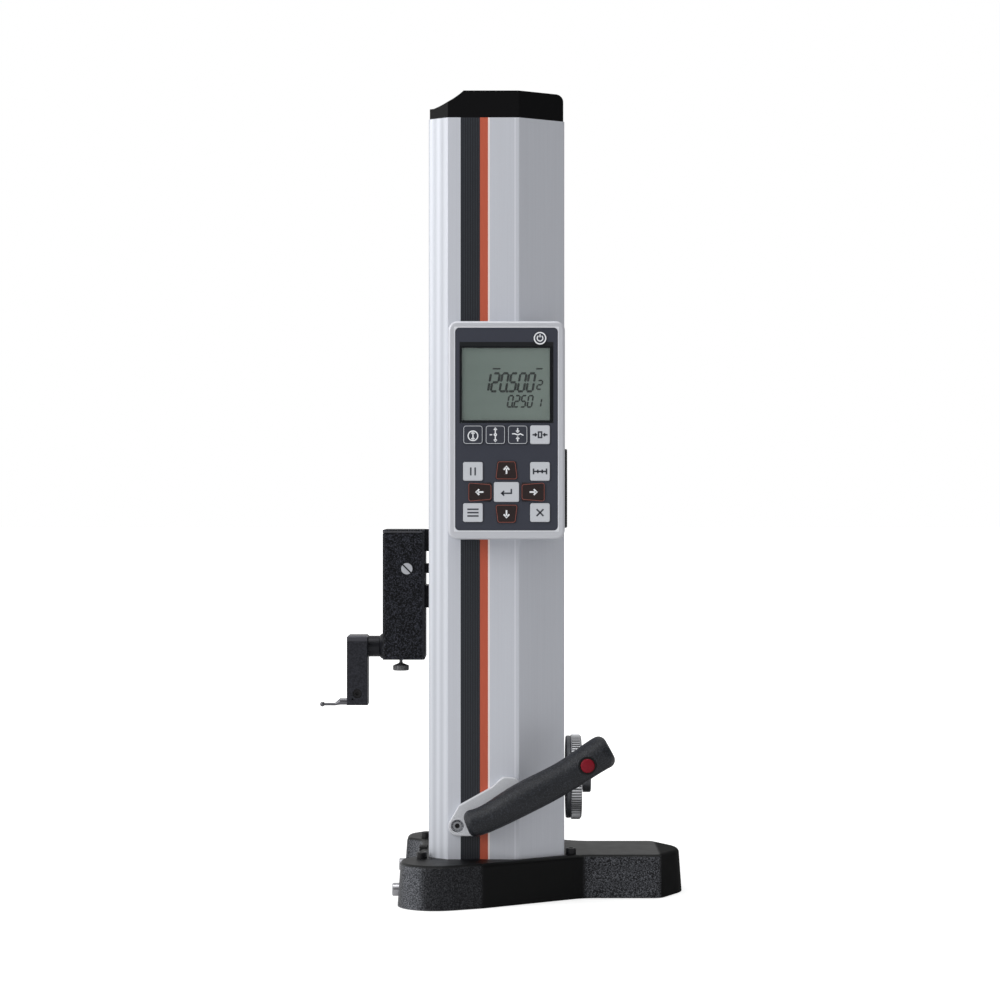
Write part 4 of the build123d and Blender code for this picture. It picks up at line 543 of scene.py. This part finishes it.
class Pattern(Nodes):
    """A geometry tree with named sizes, which ends in real faces that carry a finish."""

    def __init__(self, name, **sizes):
        super().__init__(bpy.data.node_groups.new(name, "GeometryNodeTree"))
        self.sizes = sizes
        sockets = self.tree.interface
        sockets.new_socket("Geometry", in_out="INPUT", socket_type="NodeSocketGeometry")
        self.keys = {size: sockets.new_socket(size, in_out="INPUT", socket_type="NodeSocketFloat").identifier
                     for size in sizes}
        sockets.new_socket("Geometry", in_out="OUTPUT", socket_type="NodeSocketGeometry")
        self.start = self.tree.nodes.new("NodeGroupInput")
        self.geometry = Value(self, self.start.outputs[0])

    def size(self, name):
        return Value(self, self.start.outputs[name])

    def vector(self, x=0.0, y=0.0, z=0.0):
        return self.add("ShaderNodeCombineXYZ", None, {0: x, 1: y, 2: z})

    def end(self, instances, finish, slant):
        """Makes the instances real, leans them by slant and gives them the finish."""
        real = self.add("GeometryNodeRealizeInstances", None, {0: instances})
        height = self.part(self.add("GeometryNodeInputPosition"), "Z")
        leaning = self.add("GeometryNodeSetPosition", None,
                           {"Geometry": real, "Offset": self.vector(x=height * slant)})
        painted = self.add("GeometryNodeSetMaterial", None,
                           {"Geometry": leaning, "Material": finish.material})
        self.feed(self.tree.nodes.new("NodeGroupOutput").inputs[0], painted)

    def made(self, name, points, attributes):
        """The pattern on points that carry attributes, as a plain mesh object at the origin."""
        mesh = bpy.data.meshes.new(name)
        mesh.from_pydata(points, [], [])
        for label, values in attributes.items():
            mesh.attributes.new(label, "FLOAT", "POINT").data.foreach_set("value", values)
        piece = bpy.data.objects.new(name, mesh)
        bpy.context.scene.collection.objects.link(piece)
        modifier = piece.modifiers.new(name, "NODES")
        modifier.node_group = self.tree
        for size, key in self.keys.items():
            modifier[key] = self.sizes[size]
        bpy.context.view_layer.update()
        result = bpy.data.meshes.new_from_object(piece.evaluated_get(bpy.context.evaluated_depsgraph_get()))
        piece.modifiers.clear()
        piece.data = result
        return piece


def figures(name, text, corner, height, pitch, width, stroke):
    """A line of seven-segment figures with its lower left corner at corner.

    pitch is the step from one figure to the next, and stroke the width of a segment."""
    digits = Pattern(name, Stroke=stroke, Film=FILM, Slant=SLANT)
    stroke_size, film = digits.size("Stroke"), digits.size("Film")
    bar = digits.add("GeometryNodeMeshCircle", {"fill_type": "NGON"}, {"Vertices": 6, "Radius": 1.0})
    along_bar = digits.part(digits.add("GeometryNodeInputPosition"), "X")
    shoulder = along_bar.maths("SIGN") * SHOULDER - along_bar * SHOULDER
    bar = digits.add("GeometryNodeSetPosition", None, {"Geometry": bar, "Offset": digits.vector(x=shoulder)})
    bar = digits.add("GeometryNodeTransform", None,
                     {"Geometry": bar, "Rotation": (math.pi / 2, 0, 0),
                      "Scale": digits.vector(x=0.5, y=stroke_size / 2, z=1.0)})
    bar = digits.add("GeometryNodeExtrudeMesh", None,
                     {"Mesh": bar, "Offset": digits.vector(y=-1.0), "Offset Scale": film})
    reach, turn = (digits.add("GeometryNodeInputNamedAttribute", {"data_type": "FLOAT"}, {"Name": label})
                   for label in ("reach", "turn"))
    placed = digits.add("GeometryNodeInstanceOnPoints", None,
                        {"Points": digits.geometry, "Instance": bar,
                         "Rotation": digits.vector(y=turn * (math.pi / 2)),
                         "Scale": digits.vector(x=reach, y=1.0, z=1.0)})
    digits.end(placed, segment_ink, digits.size("Slant"))
    points, reaches, turns = [], [], []
    column = 0
    for letter in text:
        if letter == ".":
            points.append(((column - 0.5) * pitch + width / 2, 0, 0))
            reaches.append(stroke * POINT_REACH)
            turns.append(0)
            continue
        for segment in LIT[letter]:
            x, z, upright = SEGMENTS[segment]
            points.append((column * pitch + x * width, 0, z * height))
            reaches.append((height / 2 if upright else width) * SEGMENT_REACH)
            turns.append(upright)
        column += 1
    piece = digits.made(name, points, {"reach": reaches, "turn": turns})
    piece.data.transform(Matrix.Translation((corner[0], LCD_FACE - FILM_STEP, corner[1])))
    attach(piece, "stand")


for line in (   # name, text, corner, height, pitch, width and stroke
        ("lcd_main_figures", "120.500", (-0.0588, 0.4924), 0.0172, 0.0085, 0.0059, 0.0026),
        ("lcd_small_figures", "0.250", (-0.0345, 0.4775), 0.0108, 0.0063, 0.0042, 0.0019),
        ("lcd_main_index", "2", (-0.0064, 0.4944), 0.0084, 0.0063, 0.0044, 0.0018),
        ("lcd_small_index", "1", (-0.0072, 0.4776), 0.0078, 0.0063, 0.0044, 0.0018),
        ("lcd_state_mark", "-", (-0.0494, 0.5125), 0.0030, 0.0100, 0.0090, 0.0018),
        ("lcd_unit_mark", "-", (-0.0078, 0.5125), 0.0030, 0.0100, 0.0075, 0.0018)):
    figures(*line)

# ---------------------------------------------------------------- grip, bracket and air button
# A cast bracket is screwed to the cover, and a rubber grip with a steel core leans back from it. The grip's
# red button lets air to the pads, and the recess round it is painted black, as painted shade.

BUTTON = (0.0419, 0.1360)   # X and Z
BUTTON_RADIUS = 0.0067
BUTTON_DOME = 0.0012
RECESS_SHADE_RADIUS = 0.0086      # the painted shade of the recess round the button

rubber = Finish("grip rubber", specular_ior_level=0.3)
skin = rubber.cells(0.0017)
pores = rubber.noise(0.0011)
wear = rubber.noise(0.02)
# The recess round the button is painted black, as painted shade.
painted_recess_shade = rubber.from_axis("XZ", BUTTON).below(RECESS_SHADE_RADIUS, 0.0002)
greyed = rubber.mixed(pores.rise(0.45, 0.7) * 0.7 + wear * 0.3, paint(18, 20, 23), paint(54, 57, 64))
rubber.give(base_color=rubber.mixed(painted_recess_shade, greyed, paint(7, 7, 8)), roughness=0.36 + 0.12 * wear)
rubber.bump((skin * 0.8 + pores * 0.6) * (1 - painted_recess_shade), 0.0004, 0.8)
rubber.on("grip")

bracket_cast = Finish("cast bracket", metallic=0.15, specular_ior_level=0.4)
sand = bracket_cast.noise(0.0009, 4.0)
bracket_cast.grained(sand, paint(196, 198, 203), paint(218, 220, 225), roughness=(0.42, 0.14))
bracket_cast.bump(sand, 0.0004, 0.9)
bracket_cast.on("grip_bracket")

button_red = Finish("red button", specular_ior_level=0.15)
button_red.grained(button_red.noise(0.004, 2.0), paint(112, 18, 32), paint(134, 26, 40),
                   roughness=(0.28, 0.1))
dome = button_red.from_axis("XZ", BUTTON) / BUTTON_RADIUS
button_red.bump(1 - dome * dome, BUTTON_DOME)
button_red.on("air_button")

# ---------------------------------------------------------------- handwheel
# The rim is turned aluminium with straight ridges for the fingers, and its face keeps fine rings from the
# lathe. Its hub and flange are darkened metal.

WHEEL_AXIS = (0.0, 0.1126)  # Y and Z
RIM_EDGE = (0.0405, 0.0412)  # past this radius the rim shows its ridges
RIDGES = 90
CREST = 0.375               # the middle of a ridge, as a share of the step from one to the next
RING_STEP = 0.0012          # from one ring of the lathe to the next on the wheel's face

rim_metal = Finish("ridged rim", metallic=0.85)
lathe = rim_metal.noise(0.0006, 3.0, (8, 1, 1))
wheel_y, wheel_z = rim_metal.along("Y") - WHEEL_AXIS[0], rim_metal.along("Z") - WHEEL_AXIS[1]
ridge_angle = wheel_z.maths("ARCTAN2", wheel_y) * RIDGES - 2 * math.pi * CREST
painted_ridge_crests = (0.5 + 0.5 * ridge_angle.maths("COSINE")).rise(0.1, 0.6)
from_wheel = rim_metal.from_axis("YZ", WHEEL_AXIS)
edge_on = from_wheel.rise(*RIM_EDGE)
rings = 0.5 + 0.5 * (from_wheel * (2 * math.pi / RING_STEP)).maths("SINE")
rim_bright = rim_metal.mixed(lathe, paint(192, 193, 197), paint(216, 217, 220))
rim_dull = rim_metal.mixed(lathe, paint(128, 129, 133), paint(150, 151, 155))
# The ridges are painted: the grooves between them are painted dark, as painted shade, and the crests bright.
rim_metal.give(
    base_color=rim_metal.mixed(
        edge_on * (1 - painted_ridge_crests),
        rim_metal.mixed((1 - edge_on) * (0.4 + 0.6 * rings), rim_bright, rim_dull),
        paint(84, 85, 88)),
    roughness=0.24 + 0.16 * lathe)
rim_metal.bump(lathe, 0.00004)
rim_metal.on("handwheel_rim")

hub_metal = Finish("dark hub", metallic=0.5, specular_ior_level=0.4)
hub_metal.grained(hub_metal.noise(0.0008), paint(76, 78, 82), paint(104, 106, 110),
                  roughness=(0.32, 0.14), depth=0.00004)
hub_metal.on("handwheel_hub")

# ---------------------------------------------------------------- keys
# Moulded caps that stand a little out of the panel: pale ones with dark signs, dark ones with pale signs, and
# brown arrow keys with a red outline. The signs are printed on.


def key_finish(name, low, high):
    """A moulded or printed surface between two shades."""
    cap = Finish(name, specular_ior_level=0.4)
    cap.grained(cap.noise(0.0007), low, high, roughness=(0.42, 0.12), depth=0.00003)
    return cap


pale_cap = key_finish("pale key", paint(194, 197, 203), paint(206, 209, 215))
slate_cap = key_finish("slate key", paint(46, 49, 59), paint(56, 59, 70))
brown_cap = key_finish("brown arrow key", paint(27, 13, 13), paint(42, 27, 27))
white_ink = key_finish("white print", paint(232, 234, 238), paint(244, 246, 250))
dark_ink = key_finish("dark print", paint(48, 51, 60), paint(62, 65, 74))
red_ink = key_finish("red print", paint(136, 74, 66), paint(150, 84, 74))

SLATE_KEYS = ("top_key_1", "top_key_2", "top_key_3", "power_key")
pale_cap.on("top_key_4", "left_upper_key", "left_lower_key", "right_upper_key", "right_lower_key",
            "enter_key")
slate_cap.on(*SLATE_KEYS)
brown_cap.on("up_key", "down_key", "left_key", "right_key")

INK = 0.00005               # the thickness of the print, in metres
JOINED = 1e-7               # a line whose ends are nearer than this is closed
MITRE = 0.45                # keeps a sharp corner of a line from growing a spike
BOLD, FINE, EDGING, BAND = 1.5, 1.05, 0.5, 1.15     # the widths of printed lines, in millimetres


def ring(radius, start=0, stop=360, middle=(0, 0)):
    """Points on an arc, in degrees from the right and turning left."""
    steps = max(8, round(abs(stop - start) / 12))
    return [(middle[0] + radius * math.cos(math.radians(start + (stop - start) * i / steps)),
             middle[1] + radius * math.sin(math.radians(start + (stop - start) * i / steps)))
            for i in range(steps + 1)]


def printed(node, label, lines, width, ink):
    """Prints lines, in millimetres from the middle of a key's face, on that key."""
    low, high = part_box(node)
    x, z, face = (low[0] + high[0]) / 2, (low[2] + high[2]) / 2, low[1]
    bm = bmesh.new()
    for line in lines:
        points = [Vector((px, pz)) / 1000 for px, pz in line]
        closed = (points[0] - points[-1]).length < JOINED
        if closed:
            points.pop()
        count = len(points)
        sides = []
        for i, point in enumerate(points):
            before = points[i - 1] if closed or i else points[i] * 2 - points[i + 1]
            after = points[(i + 1) % count] if closed or i < count - 1 else points[i] * 2 - points[i - 1]
            one, two = (point - before).normalized(), (after - point).normalized()
            along = (one + two).normalized()
            across = Vector((-along.y, along.x))
            reach = width / 2000 / max(MITRE, along.dot(one))
            sides.append([bm.verts.new((x + p.x, face - lift, z + p.y))
                          for p in (point - across * reach, point + across * reach) for lift in (0, INK)])
        for i in range(count if closed else count - 1):
            a, b = sides[i], sides[(i + 1) % count]
            for corners in ((a[1], b[1], b[3], a[3]), (a[0], a[2], b[2], b[0]),
                            (a[0], b[0], b[1], a[1]), (a[2], a[3], b[3], b[2])):
                bm.faces.new(corners)
        if not closed:
            bm.faces.new((sides[0][0], sides[0][1], sides[0][3], sides[0][2]))
            bm.faces.new((sides[-1][0], sides[-1][2], sides[-1][3], sides[-1][1]))
    bmesh.ops.recalc_face_normals(bm, faces=bm.faces)
    mesh = bpy.data.meshes.new(f"{node}_{label}")
    bm.to_mesh(mesh)
    bm.free()
    mesh.materials.append(ink.material)
    piece = bpy.data.objects.new(f"{node}_{label}", mesh)
    bpy.context.scene.collection.objects.link(piece)
    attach(piece, node)


def frame_line(width, height, radius, width_far=None):
    """A closed outline with rounded corners. width_far is the width at its upper side."""
    far = width if width_far is None else width_far
    upper, lower, rise = far / 2 - radius, width / 2 - radius, height / 2 - radius
    corners = [((upper, rise), 0), ((-upper, rise), 90), ((-lower, -rise), 180), ((lower, -rise), 270)]
    points = [p for middle, turn in corners for p in ring(radius, turn, turn + 90, middle)]
    return points + points[:1]


def turned(lines, quarter_turns):
    for _ in range(quarter_turns):
        lines = [[(-z, x) for x, z in line] for line in lines]
    return lines


ARROW = [[(0, -3.4), (0, 3.0)], [(-2.7, 0.6), (0, 3.4), (2.7, 0.6)]]
UPRIGHT_OUTLINE = frame_line(16.6, 16.3, 2.0, 19.9)     # up and down keys
LEVEL_OUTLINE = frame_line(14.2, 21.2, 2.0, 17.0)       # left and right keys
for key, turns in (("up_key", 0), ("left_key", 1), ("down_key", 2), ("right_key", 3)):
    printed(key, "arrow", turned(ARROW, turns), BOLD, white_ink)
    outline = turned([LEVEL_OUTLINE], turns) if turns % 2 else turned([UPRIGHT_OUTLINE], (turns + 2) % 4)
    printed(key, "outline", outline, EDGING, red_ink)

for key in SLATE_KEYS[:3]:
    printed(key, "outline", [frame_line(17.6, 16.7, 2.2)], EDGING, pale_cap)

SIGNS = {
    "top_key_1": [ring(4.6, 0, 360, (0, -1)), [(0, -4.6), (0, 2.6)], [(-1.5, 1.1), (0, 2.8), (1.5, 1.1)],
                  [(-1.5, -3.1), (0, -4.8), (1.5, -3.1)]],
    "top_key_2": [[(0, 1.6), (0, 6.2)], [(-1.4, 4.6), (0, 6.4), (1.4, 4.6)], [(0, -1.6), (0, -6.2)],
                  [(-1.4, -4.6), (0, -6.4), (1.4, -4.6)], ring(1.0), [(-5.4, 0), (-3.0, 0)]],
    "top_key_3": [[(0, 2.4), (0, 6.4)], [(-1.4, 4.0), (0, 2.2), (1.4, 4.0)], [(0, -2.4), (0, -6.4)],
                  [(-1.4, -4.0), (0, -2.2), (1.4, -4.0)],
                  [(-5.4, 0.9), (-2.6, 0.9), (0, -0.2), (2.6, 0.9), (5.4, -0.6)]],
    "top_key_4": [[(-1.5, -2.6), (-1.5, 2.6), (1.5, 2.6), (1.5, -2.6), (-1.5, -2.6)],
                  [(-7.2, 0), (-3.6, 0)], [(-4.8, 1.4), (-3.4, 0), (-4.8, -1.4)],
                  [(7.2, 0), (3.6, 0)], [(4.8, 1.4), (3.4, 0), (4.8, -1.4)]],
    "left_upper_key": [[(-2.1, -3.8), (-2.1, 3.8)], [(2.1, -3.8), (2.1, 3.8)]],
    "right_upper_key": [[(-6.2, 0), (6.2, 0)], [(-6.2, -2.8), (-6.2, 2.8)], [(-2.1, -1.8), (-2.1, 1.8)],
                        [(2.1, -1.8), (2.1, 1.8)], [(6.2, -2.8), (6.2, 2.8)]],
    "left_lower_key": [[(-5.4, 3.2), (5.4, 3.2)], [(-5.4, 0), (5.4, 0)], [(-5.4, -3.2), (5.4, -3.2)]],
    "right_lower_key": [[(-3.3, -3.3), (3.3, 3.3)], [(-3.3, 3.3), (3.3, -3.3)]],
    "enter_key": [[(4.6, 3.0), (4.6, -1.2), (-4.4, -1.2)], [(-2.2, 1.0), (-4.6, -1.2), (-2.2, -3.4)]],
    "power_key": [ring(2.7, 125, 415), [(0, 0.9), (0, 3.7)]],
}
for key, lines in SIGNS.items():
    pale = key in SLATE_KEYS
    printed(key, "sign", lines, FINE if pale else BOLD, white_ink if pale else dark_ink)
printed("power_key", "ring", [ring(5.45)], BAND, white_ink)

# ---------------------------------------------------------------- floor, light and camera
# A pale floor and a soft studio: one large lamp to the left, a weaker one above, and a pale room. The camera
# stands square in front of the gauge.

world = bpy.data.worlds.new("room")
bpy.context.scene.world = world
world.use_nodes = True
world.node_tree.nodes.clear()
room = Nodes(world.node_tree)


def ray(nodes, kind):
    """1 for the rays of one kind, and 0 for all others."""
    return nodes.add("ShaderNodeLightPath", output=f"Is {kind} Ray")


AMBIENT = 0.69              # the room's light from straight ahead
AMBIENT_FALL = 0.27         # what it loses to the right and gains to the left

towards = room.add("ShaderNodeTexCoord", output="Generated")
side, depth, height = (room.part(towards, axis) for axis in "XYZ")
overhead = height.rise(0.5, 0.9)
lit_side = (0.0 - side).rise(0.1, 0.8)
behind = depth.rise(-0.4, 0.4) * (0.7 - 0.65 * side.rise(0.2, 0.7))
backdrop = 0.1 + 0.9 * larger(overhead, lit_side, behind)
mirrored = (ray(room, "Glossy") + ray(room, "Transmission")).maths("MINIMUM", 1.0)
ambient = AMBIENT - AMBIENT_FALL * side
pictured = ray(room, "Camera")
strength = pictured + (1 - pictured) * (mirrored * backdrop + (1 - mirrored) * ambient)
background = room.add("ShaderNodeBackground", None, {"Color": (1, 1, 1, 1), "Strength": strength})
room.feed(room.tree.nodes.new("ShaderNodeOutputWorld").inputs[0], background)

FLOOR_DROP = 0.0005         # keeps the floor clear of the pads' faces
FLOOR_GLOW = 0.66           # near the gauge. Far off the floor is as bright as the room.
bpy.ops.mesh.primitive_plane_add(size=60, location=(0, 0, -FLOOR_DROP))
floor = bpy.context.object
floor.name = "floor"
floor_finish = Finish("pale floor", base_color=paint(206, 206, 206), roughness=0.85, specular_ior_level=0.1)
seen = (ray(floor_finish, "Camera") + 0.2 * ray(floor_finish, "Glossy")
        + ray(floor_finish, "Transmission")).maths("MINIMUM", 1.0)
far_off = floor_finish.from_axis("XY", (0.0, 0.0)).rise(0.4, 1.2)
floor_finish.give(emission_color=(1, 1, 1, 1),
                  emission_strength=(FLOOR_GLOW + (1 - FLOOR_GLOW) * far_off) * seen)
floor.data.materials.append(floor_finish.material)


def lamp(name, place, target, width, power):
    """A square lamp that shines from place on target and can't be seen itself."""
    light = bpy.data.lights.new(name, "AREA")
    light.shape, light.size, light.energy = "SQUARE", width, power
    holder = bpy.data.objects.new(name, light)
    holder.location = place
    holder.rotation_euler = (Vector(target) - Vector(place)).to_track_quat("-Z", "Y").to_euler()
    holder.visible_camera = False
    bpy.context.scene.collection.objects.link(holder)


lamp("left lamp", (-2.2, -1.3, 1.3), (0, 0, 0.4), 1.4, 26)
lamp("top lamp", (-0.3, -0.6, 2.6), (0, 0, 0.3), 1.2, 12)

camera = bpy.data.objects.new("camera", bpy.data.cameras.new("camera"))
camera.data.sensor_width = 36
camera.data.lens = 93.53
camera.location = (-0.0414, -2.592, 0.3915)
camera.rotation_euler = (math.radians(90 - 0.066), 0, 0)
bpy.context.scene.collection.objects.link(camera)
bpy.context.scene.camera = camera
bpy.context.scene.view_settings.view_transform = "Standard"
